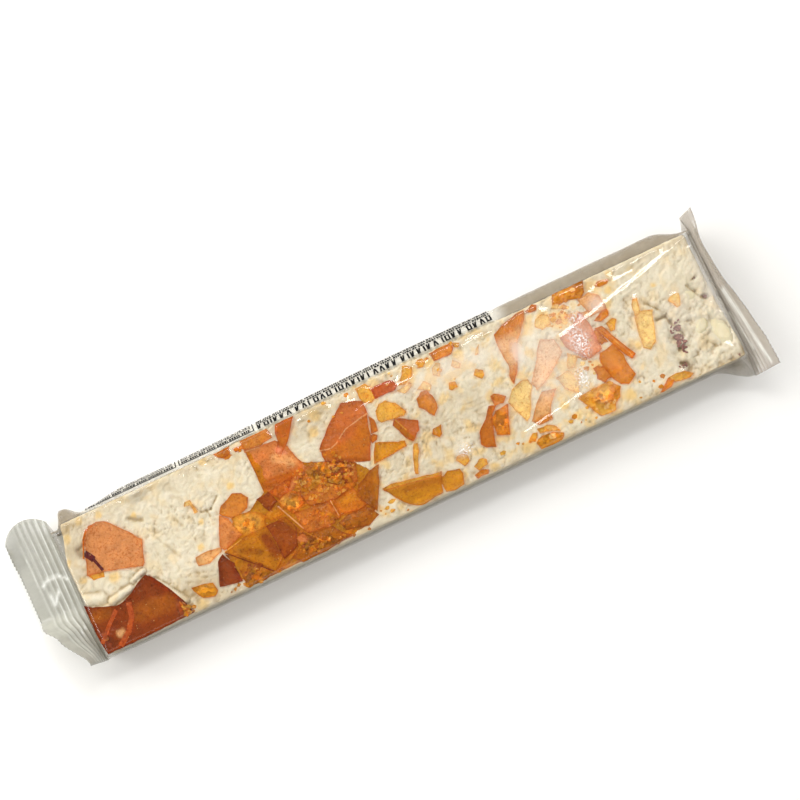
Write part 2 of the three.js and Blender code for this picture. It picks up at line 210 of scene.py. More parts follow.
# Each shard: its tint, how far its top stands above the nougat's, its thickness, its corners, and
# the line along its top that is highest, if it has one.
Shard = namedtuple("Shard", "tint rise thick corners ridge", defaults=[()])
SHARDS = [
    Shard("deep", 0.12, 2.2, [
        (-94.6, -4), (-92.6, -5.4), (-89.6, -6.6), (-87, -7.6), (-84.6, -7.4), (-82, -6.4), (-79.6, -4.8),
        (-76.4, -3.4), (-75.2, -4.6), (-72, -9.6), (-69.4, -16), (-68.8, -18), (-94, -18.4), (-94.7, -12)]),
    Shard("apricot", 0.5, 1.6, [
        (-90.6, 2.8), (-89, 7), (-87.6, 10.6), (-86.2, 13.6), (-84.8, 14.8), (-82.4, 14.9), (-80.4, 14.2),
        (-78.4, 12), (-75, 8), (-73.2, 5.6), (-75.2, -0.4), (-76, -1.2), (-80, 0.2), (-86.4, 2)]),
    Shard("gold", 0.12, 0.9, [(-90.4, 3), (-86, 2.2), (-86.4, 0.6), (-89.4, 1)]),
    Shard("honey", 0.1, 1.0, [
        (-54, -6.5), (-49, 0.2), (-44, 0.2), (-41, 2.2), (-38.7, 3), (-38.7, 14.8), (-30, 14.2), (-26, 6),
        (-20, 3.4), (-13.4, 0), (-10, -4), (-13, -13), (-17, -16.6), (-30, -18.1), (-46, -18.1),
        (-55, -15)]),
    Shard("orange", 0.45, 1.2, [
        (-51.9, 2.8), (-50.6, 4.6), (-46.5, 6.4), (-44.3, 5.4), (-43.1, 3.6), (-44.4, 1.2), (-47, 0.4),
        (-49.5, 0.6)]),
    Shard("tan", 0.5, 1.2, [(-52, 2.6), (-50.2, 0.6), (-48.6, -4.8), (-54.6, -6.6), (-55.4, -5)]),
    Shard("peach", 0.4, 0.8, [
        (-62.4, -5), (-58.5, -4.8), (-55, -5.4), (-55.6, -6.6), (-59.5, -8), (-62.6, -7.4)]),
    Shard("amber", 0.35, 1.0, [
        (-49.5, 0.4), (-46.5, 0.4), (-44.4, 0), (-41, -2.6), (-41.8, -5.2), (-48, -6.6), (-49.5, -4)]),
    Shard("dark", 0.35, 1.6, [
        (-59.8, -14.8), (-57.5, -8.6), (-55.5, -7.2), (-53.6, -10.6), (-53.6, -16), (-57, -15.4)]),
    Shard("olive", 0.25, 1.2, [
        (-55, -7.6), (-52, -9.6), (-44.8, -17.6), (-48, -18.3), (-53.2, -18), (-53.4, -10.6)]),
    Shard("honey", 0.42, 1.2, [
        (-55, -7.2), (-48.6, -5.6), (-42, -5.4), (-41.4, -14.8), (-44.6, -17.4), (-52, -9.4)]),
    Shard("brown", 0.5, 1.0, [(-42, -5.4), (-38.6, -5.4), (-34.8, -9.6), (-36.4, -13.6), (-41.2, -15.4)]),
    Shard("amber", 0.3, 0.8, [(-45, -17.8), (-40.4, -15.4), (-36.2, -13.8), (-37.6, -15), (-41.6, -17.2)]),
    Shard("olive", 0.55, 0.6, [(-38.4, -5), (-36.2, -5.4), (-30.8, -16.6), (-32.2, -17), (-36, -9)]),
    Shard("tan", 0.6, 0.7, [(-36, -11.8), (-34, -11.4), (-33.2, -13.6), (-35.2, -14.8)]),
    Shard("brown", 0.5, 0.8, [(-41.3, 2.2), (-37.6, 2.6), (-36.4, -0.6), (-39.4, -2.4), (-40.4, -0.4)]),
    Shard("amber", 0.35, 0.8, [(-40.2, -2.2), (-36.6, -1), (-36.4, -4.4), (-40, -4.8), (-42, -2.8)]),
    Shard("orange", 0.3, 1.0, [(-46.6, 18), (-42, 18.2), (-42.4, 16.4), (-44.6, 15.8), (-46, 16.8)]),
    Shard("bright", 0.25, 0.9, [(-41.4, 17.2), (-38.5, 17), (-38.6, 15.8), (-41, 16)]),
    Shard("orange", 0.4, 0.9, [(-38.8, 18.2), (-31, 18.2), (-30.6, 15.4), (-34.5, 14.6), (-38.8, 15.4)]),
    Shard("tan", 0.35, 1.2, [
        (-38.8, 15.6), (-30.2, 14.4), (-27.8, 11.6), (-26.6, 7), (-25.6, 4.6), (-28.4, 2), (-31, 0.4),
        (-36.4, 0.4), (-38.2, 3), (-38.4, 8)]),
    Shard("rust", 0.55, 0.8, [
        (-28.4, 18.2), (-23, 18.2), (-26.4, 13.6), (-28, 12), (-31, 9.4), (-31.4, 11.4), (-29.6, 14)]),
    Shard("rust", 0.5, 0.7, [(-37.6, 2.6), (-30, 3.8), (-33, 0.2), (-35.6, -0.6)]),
    Shard("bright", 0.45, 1.0, [
        (-36.4, -0.6), (-32.6, 0.6), (-30, -0.6), (-30, -4), (-34, -5.6), (-36, -2.6)]),
    Shard("orange", 0.4, 1.2, [
        (-30, 0.4), (-25.8, 4.6), (-22.6, 2.4), (-22, -2), (-17.6, -5.6), (-22, -6.8), (-29, -5.6),
        (-30, -2)]),
    Shard("amber", 0.35, 1.0, [(-25, 4.6), (-20.4, 3), (-16, 0.8), (-16, -5), (-20, -3), (-22.6, 1)]),
    Shard("orange", 0.35, 0.8, [(-15.8, 0.6), (-13.4, -0.4), (-14.6, -4.6), (-16, -5)]),
    Shard("orange", 0.3, 1.1, [
        (-33.6, -5.6), (-24, -6.6), (-23.4, -10), (-25, -12.4), (-33, -11.8), (-33.6, -9)]),
    Shard("bright", 0.35, 1.1, [(-23, -7), (-16.6, -6.2), (-15, -11.4), (-18, -12), (-22.6, -11)]),
    Shard("olive", 0.25, 1.2, [
        (-39.4, -16), (-36, -14.4), (-31, -12.2), (-26, -12.8), (-24.6, -15), (-22, -17.6), (-30, -18.3),
        (-37, -18.3)]),
    Shard("olive", 0.3, 1.1, [
        (-24, -12.8), (-21, -11.8), (-15.6, -12), (-13.4, -15.4), (-17, -17), (-23, -15.4)]),
    Shard("olive", 0.66, 0.9, [
        (-7.8, -3.2), (-9.6, -7.6), (-13.4, -14.4), (-16.8, -8), (-15, -5.8), (-11, -3.8)]),
    Shard("red", 0.72, 1.6, [
        (-20.6, 5.2), (-20.4, 7.2), (-15, 12.4), (-10, 16), (-7, 15.2), (-4.6, 14), (-4.7, 10.6),
        (-6.4, 4.6), (-9.4, -1.4), (-13.6, 0.2), (-20.4, 3.4)],
        [(-20.4, 6.6), (-17.6, 6), (-15.6, 6.6), (-12, 9), (-9, 9.6), (-4.7, 10.4)]),
    Shard("cherry", 0.5, 1.0, [
        (-1.2, 15.8), (0, 16.2), (4.4, 16), (5, 15.6), (5.6, 14), (4.6, 13), (-1.2, 13)]),
    Shard("gold", 0.3, 0.9, [
        (-5, 17.8), (-2, 18), (-1.2, 16.8), (-1, 13.4), (-2.4, 12.6), (-4.4, 13.4), (-5, 15)]),
    Shard("gold", 0.4, 1.0, [
        (-3, 7.6), (-2.6, 10), (-1, 11.4), (1, 11.6), (3.2, 9.8), (4.8, 6.6), (4, 5.8), (0.4, 6.2),
        (-2.4, 6.6)]),
    Shard("red", 0.65, 1.3, [
        (0, 4.6), (1, 6), (2.4, 5.6), (6.8, 3), (6, 0.6), (5, 0), (3.2, -1.6), (1.6, 0.4)],
        [(1.2, 5.8), (4.2, -0.8)]),
    Shard("amber", 0.45, 1.0, [
        (-8.8, -2.6), (-7, 1.2), (-6.2, 2.4), (-4, 1.6), (-0.6, 0), (1.2, -0.4), (1, -2), (-3, -2.4)]),
    Shard("rust", 0.4, 0.9, [(-7, 2.6), (-6.6, 4.6), (-5.6, 4.8), (-4.8, 4), (-5.4, 3)]),
    Shard("orange", 0.25, 0.8, [(-6.2, 5), (-4.8, 9.6), (-3.8, 8), (-4.2, 5)]),
    Shard("gold", 0.35, 0.8, [(0, -9.8), (0.8, -10), (2.6, -6), (4, -2.6), (3, -2.2), (2, -4), (0.4, -8)]),
    Shard("honey", 0.5, 1.4, [
        (-9.8, -9.6), (-7, -9.4), (-2, -10.4), (4.6, -11.8), (6.6, -12), (6, -13.4), (4.6, -17.4),
        (-1, -18.1), (-4, -17), (-7.4, -13.4)],
        [(-8, -10.6), (5.4, -13)]),
    Shard("amber", 0.35, 1.1, [
        (5.2, -13.4), (8, -12.6), (11.2, -13.4), (11.6, -15), (10.6, -17.8), (8, -18.2), (5.4, -17.6)]),
    Shard("orange", 0.65, 1.4, [
        (8.4, 6), (8.8, 8.4), (10.6, 9.6), (12.4, 9.2), (13, 7.4), (13.2, 5), (12, 3), (11.2, 2.2),
        (9.8, 4.4)],
        [(10.8, 8.8), (11.4, 3.2)]),
    Shard("pale", 0.2, 0.7, [(10, 10.6), (12.6, 12), (14, 10), (13, 8.8)]),
    Shard("gold", 0.3, 0.8, [(17.8, 7), (18.6, 8.6), (20.2, 8.2), (20.2, 6.6), (18.4, 6.4)]),
    Shard("gold", 0.35, 0.9, [(25.4, 7.6), (26.6, 9), (28.2, 7.8), (28, 6.4), (27, 5.8)]),
    Shard("amber", 0.45, 1.0, [(8.6, -2), (9.4, -0.8), (10.8, -0.8), (11.8, -0.6), (11, -3), (10, -3.6)]),
    Shard("orange", 0.4, 1.0, [(17, 18), (23.6, 18.2), (24, 17.4), (22.4, 15.4), (17.4, 15.6)]),
    Shard("gold", 0.3, 0.8, [(23.8, 18.1), (25.6, 17.2), (25, 16.2), (24, 16.6)]),
    Shard("gold", 0.35, 0.9, [(12.6, 15.8), (13.4, 17.8), (14.8, 17.6), (15, 16.2), (14, 15.4)]),
    Shard("gold", 0.25, 0.8, [
        (6, 13.8), (8, 16), (9, 18), (10, 17.8), (11.4, 16.6), (10.4, 14.6), (7.6, 13.2)]),
    Shard("pale", 0.2, 0.7, [(5, 12.6), (9.4, 13), (9, 12), (6.6, 11)]),
    Shard("pale", 0.25, 0.7, [(15.6, 12.4), (16, 14), (17.6, 15), (18.6, 14.4), (18, 12.6), (17, 11.2)]),
    Shard("pale", 0.25, 0.7, [(21, 12.4), (22, 13.8), (23.6, 12), (22.8, 11)]),
    Shard("pale", 0.2, 0.6, [(28, 12.4), (29, 13.8), (30.2, 14.6), (29, 12.2)]),
    Shard("gold", 0.4, 0.9, [(11.4, -11), (12, -10.2), (14.8, -10), (14.6, -12.6), (12.8, -13.4)]),
    Shard("gold", 0.4, 0.9, [(15, -14.6), (17, -13.4), (18.8, -14.2), (18.6, -15.6), (15.8, -16.2)]),
    Shard("bright", 0.35, 0.9, [(14.2, -16.8), (16.4, -16.2), (18.2, -17), (17.6, -18), (14.6, -18)]),
    Shard("bright", 0.6, 1.5, [
        (30.4, -3.2), (27.4, -11), (24.2, -9.6), (24.6, -5), (26.6, -3.6)],
        [(29, -4), (25.6, -9.6)]),
    Shard("orange", 0.5, 1.0, [(27, 0.6), (28.2, 0.8), (30.8, -1.2), (29.4, -2.6), (27, -2.4)]),
    Shard("rust", 0.4, 1.3, [
        (25.4, -1.6), (27.2, -2.4), (25.4, -4), (23.6, -9), (22.6, -12.4), (20.2, -11.4), (19.2, -10),
        (20.2, -7), (23, -4.6)]),
    Shard("peach", 0.4, 1.2, [
        (35, 15.2), (38, 16.6), (42.6, 17.8), (45, 17.8), (44.2, 15.6), (41.4, 12.2), (40.2, 11.2),
        (38.4, 7), (36.4, 3.4), (34.2, 0.8), (34, 3.6), (35, 6), (34.6, 11)]),
    Shard("rust", 0.3, 0.8, [(45.2, 17.2), (47.6, 18.3), (48.8, 17.6), (48.2, 16.4), (46.6, 16.4)]),
    Shard("pale", 0.3, 0.9, [(45.9, 12.4), (46.8, 14.2), (49, 14.8), (50.4, 13.8), (50, 11.4), (47.4, 10.8)]),
    Shard("amber", 0.35, 1.2, [(52.4, 15), (53.8, 18.3), (62.9, 18.3), (62, 15.4), (60.4, 14), (57, 15.2)]),
    Shard("amber", 0.3, 0.8, [(65.2, 15.6), (66.4, 16.4), (69.4, 15.8), (68.6, 14.8), (66.4, 14.8)]),
    Shard("peach", 0.35, 0.9, [(59.4, 14.2), (62.6, 14.8), (65.2, 12.8), (65.4, 10.4), (60.6, 10)]),
    Shard("peach", 0.3, 0.8, [(57.4, 8.6), (57.6, 10.6), (65.4, 10.6), (65.2, 8.6)]),
    Shard("blush", 0.45, 1.2, [
        (45.6, 8.8), (49, 7.4), (49.6, 3.2), (46.4, 0.6), (41.6, -2.4), (39, -3.2), (38.4, -1), (41, 2.4),
        (43.6, 6.4)]),
    Shard("pale", 0.35, 1.1, [
        (30.6, -2.8), (33, -0.2), (36, 0.8), (38, 0.4), (38.4, -1.6), (36, -6), (34.2, -9), (33, -9.6),
        (31.6, -6)]),
    Shard("peach", 0.4, 1.1, [
        (40, -4.2), (44, -5), (42.6, -6.4), (40.4, -9), (39.6, -12), (35.6, -12), (34.2, -10.2), (36, -8)]),
    Shard("gold", 0.35, 0.9, [(31, -14.8), (33, -13.2), (34.2, -13.6), (33.6, -14.8), (31.2, -15.4)]),
    Shard("gold", 0.4, 0.9, [
        (34.6, -12.6), (37.4, -12.8), (39.2, -13.8), (40, -15.8), (37.6, -14.8), (34.8, -14.2)]),
    Shard("amber", 0.35, 0.9, [
        (32.8, -16), (35, -14.9), (38, -15.2), (40.6, -16.6), (39.4, -18.1), (33.4, -18.1)]),
    Shard("pink", 0.55, 1.3, [
        (50.6, 6.8), (55, 8.2), (58.4, 11), (59.6, 6.2), (59.6, -0.6), (55.4, -1.6), (53.4, 0.4), (51, 4)]),
    Shard("bright", 0.35, 0.9, [(61, 7.2), (64, 8.8), (65.4, 8.8), (65.2, 6.8), (62.6, 6.2)]),
    Shard("gold", 0.35, 0.9, [(63.6, 5.2), (65.8, 5.8), (66.6, 5), (65, 2.6), (63.8, 2.6)]),
    Shard("bright", 0.7, 0.9, [
        (60.2, 5.2), (62.2, 5), (67.2, -5.6), (65.8, -6.4), (64, -3.4)],
        [(61.6, 5), (66.4, -6)]),
    Shard("orange", 0.4, 0.8, [(58, 4.6), (60.6, 4.8), (62, 0.4), (60, 0.4)]),
    Shard("bright", 0.55, 1.4, [
        (58.6, -1.4), (62.6, -0.6), (64.2, -4.6), (64.9, -10.6), (62, -12.2), (60.2, -11.4), (58.6, -8.4),
        (57.6, -4)]),
    Shard("orange", 0.3, 0.8, [(55.2, -4.4), (57.8, -4.2), (58.6, -8.6), (56.4, -9.2), (55, -7.4)]),
    Shard("gold", 0.4, 1.2, [
        (48, -10), (52.6, -9.4), (57.4, -9.2), (59.8, -11.8), (58.4, -14.4), (56.6, -15.4), (56, -17),
        (51.6, -16.8), (50.2, -14)]),
    Shard("pale", 0.3, 0.8, [(49.6, 0.4), (50.6, 2.4), (53, 0.4), (51, -2), (49, -1.6)]),
    Shard("pale", 0.25, 0.8, [(45, -2.4), (49, -2), (50.6, -5), (49, -8.6), (46, -6)]),
    Shard("pale", 0.5, 1.2, [
        (71.2, 3.2), (73.2, 4.2), (76.6, 3.2), (75.2, -0.6), (73.6, -5), (71.4, -6.4), (69.8, -5),
        (70.2, -1.6)]),
    Shard("pale", 0.4, 0.8, [(71.6, 2.6), (72, 6.8), (73.2, 8.4), (74, 7.8), (73.2, 4)]),
    Shard("bright", 0.35, 1.0, [(68.6, -18), (71, -16.2), (72.2, -15.2), (73.6, -16.4), (72, -17.8)]),
    Shard("gold", 0.3, 1.0, [(72.4, -15.2), (74.8, -15), (77, -15.4), (79, -17), (77.6, -17.6), (73.6, -17)]),
    Shard("pale", 0.3, 0.8, [(81.4, 3.6), (82, 4.2), (84.8, 4.2), (83.8, 1), (82.8, 1)]),
    Shard("amber", 0.35, 0.9, [(-66.8, -11.8), (-61, -13), (-60.6, -15.4), (-62, -16.6), (-65, -15.6)]),
    Shard("pale", 0.3, 0.7, [(-59.6, 8.6), (-59, 9.6), (-57.4, 9.6), (-56.8, 5.8), (-57.8, 5.8), (-58, 8.2)]),
]

# Thin splinters and bright ridges: tint, rise, width and the points that each follows.
Sliver = namedtuple("Sliver", "tint rise width points")
SLIVERS = [
    Sliver("cherry", 0.2, 1.1, [(-94.2, -15.2), (-90.6, -11.6), (-87.2, -8.6)]),
    Sliver("cherry", 0.22, 1.5, [(-90, -17.8), (-86.4, -15.2), (-84.2, -12), (-83.4, -8.2)]),
    Sliver("rust", 0.2, 1.0, [(-75.6, -4.8), (-72.4, -10), (-70, -16)]),
    Sliver("plum", 0.56, 1.7, [(-88.6, 8.6), (-87, 6)]),
    Sliver("plum", 0.57, 0.8, [(-87.2, 6.4), (-86, 2.4)]),
    Sliver("rust", 0.56, 0.5, [(-89.4, 7.4), (-87.4, 12), (-85.8, 14), (-83.6, 14.3)]),
    Sliver("peach", 0.76, 0.4, [(-20.4, 6.6), (-17.6, 6), (-15.6, 6.6), (-12, 9), (-9, 9.6), (-4.8, 10.4)]),
    Sliver("peach", 0.58, 0.35, [(-36.8, -2), (-33.2, -10.2)]),
    Sliver("amber", 0.62, 0.3, [(-33.4, -11), (-29.6, -15.8)]),
    Sliver("deep", 0.5, 0.3, [(-54.8, -7.2), (-45, -17.2)]),
    Sliver("gold", 0.5, 0.3, [(-54.6, -7), (-49.4, -5.9)]),
    Sliver("peach", 0.45, 0.3, [(-23.6, -6.6), (-23.2, -11)]),
    Sliver("gold", 0.7, 0.3, [(61.4, 4.8), (66.2, -5.6)]),
    Sliver("gold", 0.68, 0.3, [(1.2, 5.6), (4, -0.8)]),
    Sliver("orange", 0.58, 0.3, [(-9.2, -10.2), (5.6, -12.8)]),
    Sliver("gold", 0.5, 0.3, [(29.6, -3.6), (26.4, -9.8)]),
    Sliver("peach", 0.45, 0.3, [(-38.6, 15), (-30.4, 14)]),
]

# Marks inside the shards: a line, its half width and the tint it takes on there. Two gold ones are painted
# highlights.
Streak = namedtuple("Streak", "start end reach tint")
STREAKS = [
    Streak((-82, -12), (-74, -12.6), 3.0, "brown"),
    Streak((-93, -8), (-90, -8), 2.0, "brown"),
    Streak((-89, -14.8), (-88.4, -14.6), 1.0, "peach"),
    Streak((-77, -8), (-74.6, -9.6), 1.2, "dark"),
    Streak((-84, -17), (-71, -17.4), 1.0, "dark"),
    Streak((-19.4, 4.2), (-9, 4.4), 2.0, "rust"),
    Streak((-12, 1.6), (-6.6, 7.4), 2.6, "rust"),
    Streak((-20, 3.6), (-9.8, -0.8), 0.7, "brown"),
    Streak((-30.6, 11.8), (-29.6, 10.2), 1.0, "pink"),
    Streak((-32, 10), (-28.6, 7.4), 1.6, "peach"),
    Streak((-50, -9), (-46, -11), 1.0, "olive"),
    Streak((-43.4, -8), (-42.6, -13), 1.6, "brown"),
    # painted highlights: the next two gold marks are glow of light caught inside the caramel
    Streak((-47.6, -2), (-44.6, -3), 2.6, "gold"),
    Streak((-34.6, -1.4), (-32, -3.4), 1.2, "gold"),
    Streak((-20.6, -8), (-17, -8.4), 1.2, "amber"),
    Streak((50, -11), (51.6, -12.6), 1.0, "honey"),
    Streak((57.6, -10.6), (57.4, -14), 1.2, "amber"),
    Streak((-37, 4.4), (-28, 4), 1.6, "rust"),
    Streak((0.8, 4), (3.4, -0.8), 0.7, "olive"),
    Streak((-8, -9.8), (6, -12), 0.8, "gold"),
    Streak((-4, -12.4), (5, -13.8), 0.9, "olive"),
    Streak((-3, -16.4), (4, -16.8), 0.8, "amber"),
    Streak((36, 15.4), (44.6, 17.2), 2.8, "orange"),
    Streak((35, 1.6), (36.4, 4.4), 1.6, "orange"),
    Streak((36, -11), (39, -11.4), 1.2, "orange"),
    Streak((53, -12.4), (55.4, -14), 1.2, "amber"),
    Streak((60, 16.8), (62.4, 17.6), 1.4, "olive"),
    Streak((-51, -13), (-47, -16.4), 1.2, "honey"),
]

# Where the caramel is a rough crust of grains: middle and half sizes.
CRUSTS = [
    (-24, 1.2, 6.5, 4.2), (-18.5, -0.5, 4, 4), (-33, -2.4, 3.6, 3.4), (-46, -3, 3.6, 2.8), (-50, -16, 5, 2.4),
    (-31, -15.6, 8, 2.6), (-20, -14, 5, 2), (54.6, -13, 4.4, 3), (57.6, 16.6, 5, 1.6), (27, -6, 3, 4.4),
    (-91, -15, 3, 3), (-71, -15.6, 2, 2.4), (-63.6, -14.4, 3, 2), (36.6, -16, 4, 2),
]

# Crumbs of caramel: their least size and how much larger they get, their tilt and their room at the edges.
Crumb = namedtuple("Crumb", "x y size tint top")
CRUMB_LEAST = 0.4
CRUMB_RANGE = 0.8
CRUMB_TILT = 0.12
CRUMB_END_GAP = 1.5
CRUMB_SIDE_GAP = 0.8

# Groups of crumbs: middle, spread along and across, how many, and their tints.
Scatter = namedtuple("Scatter", "x y along across count tints")
SCATTERS = [
    Scatter(6, 15.5, 16, 2.2, 14, ("pale", "gold", "amber")),
    Scatter(20, 11, 8, 4, 6, ("pale", "gold")),
    Scatter(54, 12, 4, 2.2, 26, ("pale", "gold", "peach")),
    Scatter(54, -3, 5, 5, 16, ("pale", "gold", "amber")),
    Scatter(62, -15, 9, 2.4, 8, ("gold", "amber")),
    Scatter(36, -15, 10, 2, 10, ("pale", "gold", "amber")),
    Scatter(-8, -15.6, 6, 1.6, 6, ("gold", "amber")),
    Scatter(-51, -17, 6, 0.8, 30, ("honey", "amber", "olive")),
    Scatter(-26, -17, 9, 1.0, 14, ("amber", "olive", "gold")),
    Scatter(-25, 0.5, 4, 3.2, 100, ("honey", "amber", "gold", "amber")),
    Scatter(-19, -0.6, 3.4, 2.8, 90, ("amber", "gold", "honey", "brown")),
    Scatter(-29, -4.6, 8, 1.0, 16, ("bright", "amber")),
    Scatter(-46, -2.4, 2.6, 1.8, 14, ("amber", "gold")),
    Scatter(-28, -9, 4, 2, 26, ("bright", "amber", "orange")),
    Scatter(-50, -15, 3, 1.6, 24, ("honey", "brown", "olive")),
    Scatter(-34, -15, 4, 1.6, 20, ("olive", "honey", "amber")),
    Scatter(54.6, -13, 2.6, 1.6, 18, ("pale", "amber", "gold")),
    Scatter(57, 16.6, 3, 1, 14, ("amber", "gold", "pale")),
    Scatter(-70.4, -16.8, 1.2, 1.0, 18, ("bright", "amber", "gold")),
    Scatter(-93.4, -13, 0.8, 4, 10, ("rust", "cherry", "bright")),
    Scatter(-44, 17, 3, 1, 5, ("bright", "amber")),
]

# Caramel that shows as soft yellow patches just under the nougat's skin: share, then place and radius.
STAIN_SHARE = 0.75
STAINS = [
    (-93, 14, 2.0), (-88, 17, 1.8), (-94, 8, 1.6), (-84, -0.5, 2.2), (-73, 12, 1.4), (-50, 17.6, 1.6),
    (-46, 8.5, 1.6), (-66, -17, 2.4), (-18, 16, 2.6), (-20, 12, 2.2), (9, 14, 2.6), (16, 16, 2.2),
    (30, -16, 2.4), (46, -14, 1.8), (53, 11, 4.4), (69, -4, 1.8), (68, 13, 1.8), (44, -1, 2.4),
    (-60, -3, 1.4), (-57, 3, 1.2), (-92, 2, 1.4), (-82, 16.6, 1.6), (70, 17, 1.6), (80, 9, 1.2),
    (50, -3, 3.4), (47, -7, 2.8), (49, 14, 2.8), (44, -10, 2.0), (61, -15, 2.6), (66, 10, 2.2),
    (56, -4, 2.4), (40, 15, 2.0), (64, 16, 2.4), (24, 14, 2.4), (0, 17, 2.6), (20, -17, 2.0),
]

# The warm cast of the nougat between the shards: where it sets in and ends, and how strong it is there
# and elsewhere.
WARM_FROM = (-30, -8)
WARM_TO = (66, 74)
WARM_SHARE = 0.62
WARM_ELSEWHERE = 0.4

# Rolled folds of nougat: two ends and a radius.
FOLDS = [
    ((-95, -2.4), (-89.4, -4.2), 1.9),
    ((-87.2, -6.1), (-81.6, -4.9), 1.25),
    ((-80, -3.4), (-76.6, -2.2), 0.9),
    ((-74.4, -6.4), (-69.4, -14), 0.9),
]

# Dimmer and lighter parts of the nougat: middle, half sizes and how dim; the lighter ones, below 0, are
# painted light. Then how dim its long edges are, and the depth and share of the painted shade in its hollows.
DIMS = [
    (16, -4, 32, 17, 0.25), (-94, 11, 10, 14, 0.45), (-64, -13, 9, 6, 0.5), (-20, 15, 12, 5, 0.3),
    (45, 0, 18, 20, -0.3), (20, 12, 24, 6, -0.3), (86, 0, 12, 22, -0.25),
]
DIM_NEAR_EDGE = 0.5
DIM_FAR_EDGE = 0.35
HOLLOW_DEPTH = 0.45
HOLLOW_SHARE = 0.75

# Open cracks and pits in the nougat: two ends, half width and depth.
CRACKS = [
    ((75.6, 5.6), (78, 3), 0.4, 0.7),
    ((78, 3), (80, 1), 0.4, 0.6),
    ((76.6, 0.2), (79.2, 0.1), 0.5, 1.0),
    ((79.2, 0.1), (79.8, -1.8), 0.6, 1.3),
    ((79.8, -1.8), (81.4, -6), 0.6, 0.9),
    ((79, -6), (79.4, -9.4), 1.2, 0.8),
    ((77.6, -13.2), (79, -14), 0.7, 0.9),
    ((82, -3), (85, -3.6), 0.4, 0.6),
    ((88.2, 5.2), (89.4, 3), 0.3, 0.8),
    ((89.4, 3), (90.6, 0.7), 0.35, 0.8),
    ((91, 0.8), (91.9, 0.3), 0.7, 1.3),
    ((90.2, 6), (91.4, 6.4), 0.3, 0.7),
    ((85, -9), (88.4, -13), 0.4, 0.5),
    ((-89.6, 9.2), (-88.8, 7.8), 1.0, 1.0),
    ((-90, 10.2), (-87.8, 10.6), 0.5, 0.8),
    ((-74.4, 12), (-71.4, 10.2), 0.6, 0.7),
    ((-57.6, 7.6), (-56, 5.4), 0.3, 0.5),
    ((-56, 5.4), (-53.4, 5), 0.35, 0.6),
    ((-53.4, 5), (-50.6, 7.4), 0.3, 0.5),
    ((-54.6, 5.2), (-54.2, 3.4), 0.3, 0.4),
    ((-64, 9), (-61, 2), 0.4, 0.25),
    ((-70, 5), (-66, -3), 0.4, 0.25),
    ((-74, 17), (-67, 16.4), 1.4, 0.3),
]

# Nut pieces: how finely they are split, how deep they sit and where their tops are cut flat.
NUT_GRID = (16, 16, 8)
NUT_SUNK = 0.05
NUT_FLAT = 0.86

# Each nut piece: middle, half sizes along, across and up, and turn in degrees.
Nut = namedtuple("Nut", "x y along across up turn")
NUTS = [
    Nut(91.0, -10.2, 2.8, 5.4, 2.4, 8),
    Nut(87.2, 2.4, 1.9, 2.2, 1.8, 40),
    Nut(86.8, -6.4, 2.0, 2.6, 1.8, -30),
]

# Flakes of nut skin: corners, thickness, the deepest they lie and how far above the nougat.
FLAKE_CORNERS = 6
FLAKE_THICK = 0.4
FLAKE_DEEPEST = 0.9
FLAKE_LIFT = 0.16

# Patches of broken nut skin: middle, spread along and across, how many flakes and their length.
SKIN_PATCHES = [
    (80.4, -3.3, 0.8, 0.5, 7, 0.9),
    (79.8, -6.6, 0.8, 1.7, 26, 1.5),
    (78.4, -13.6, 0.7, 0.4, 7, 0.8),
    (91.3, 0.6, 0.5, 0.25, 5, 0.7),
    (90.8, 6.2, 0.4, 0.15, 3, 0.6),
    (92.6, -17.6, 0.5, 0.2, 3, 0.6),
]

# Creases of the film's top: points along each, half width and height.
CREASES = [
    ([(94, 18.4), (88, 15.6), (80, 13.2), (70, 10.8), (60, 8.2), (51, 6.4)], 1.5, 0.25),
    ([(31, -12.6), (40, -11.2), (49, -9.6)], 0.9, 0.3),
    ([(-93, 13), (-74, 14), (-55, 14.8)], 0.8, 0.24),
    ([(-74, 15.2), (-64, 15.8), (-50, 16.2)], 0.8, 0.24),
    ([(-8, 12), (0, 12.8), (14, 14), (26, 16), (38, 16.4)], 0.8, 0.16),
    ([(-94, 4), (-88, 6), (-80, 9)], 1.0, 0.12),
    ([(94, -16), (86, -12), (76, -11)], 1.0, 0.12),
    ([(9.4, 6), (9.2, 0), (8.8, -9)], 0.8, 0.12),
    ([(14.4, 9), (12.6, 2), (13, -6), (16, -12)], 0.8, 0.14),
    ([(17, 4), (15.4, -4), (17, -11)], 0.8, 0.12),
    ([(58, 15.6), (66, 14), (76, 14.6)], 1.0, 0.12),
]

# Patches of the film's top: middle, half sizes, how strong and their sRGB colour. The grey ones are haze, and
# painted shade at a dent and round a bubble; the white ones are painted sheen where the film shines.
HAZE_AND_PAINTED_SHADE = (160, 154, 140)
PAINTED_SHEEN = (255, 250, 242)
HAZE_SHADE_AND_SHEEN_PATCHES = [
    (-70, 16.2, 4.6, 2.0, 0.3, HAZE_AND_PAINTED_SHADE),
    (-73, 11.2, 2.2, 1.2, 0.2, HAZE_AND_PAINTED_SHADE),
    (-89.4, 8.8, 1.5, 1.3, 0.25, HAZE_AND_PAINTED_SHADE),
    (38.8, 8, 3.0, 5.5, 0.42, PAINTED_SHEEN),
    (56, 5, 4.6, 6, 0.12, PAINTED_SHEEN),
    (63.4, 11, 4, 3.4, 0.3, PAINTED_SHEEN),
    (48, 6, 18, 10, 0.2, PAINTED_SHEEN),
    (22, 11.6, 24, 4.6, 0.24, PAINTED_SHEEN),
    (46, -3, 13, 9, 0.2, PAINTED_SHEEN),
    (83, -3, 9, 9, 0.14, PAINTED_SHEEN),
    (94, 2, 5, 18, 0.3, PAINTED_SHEEN),
    (14, -9.5, 4, 3, 0.15, PAINTED_SHEEN),
]

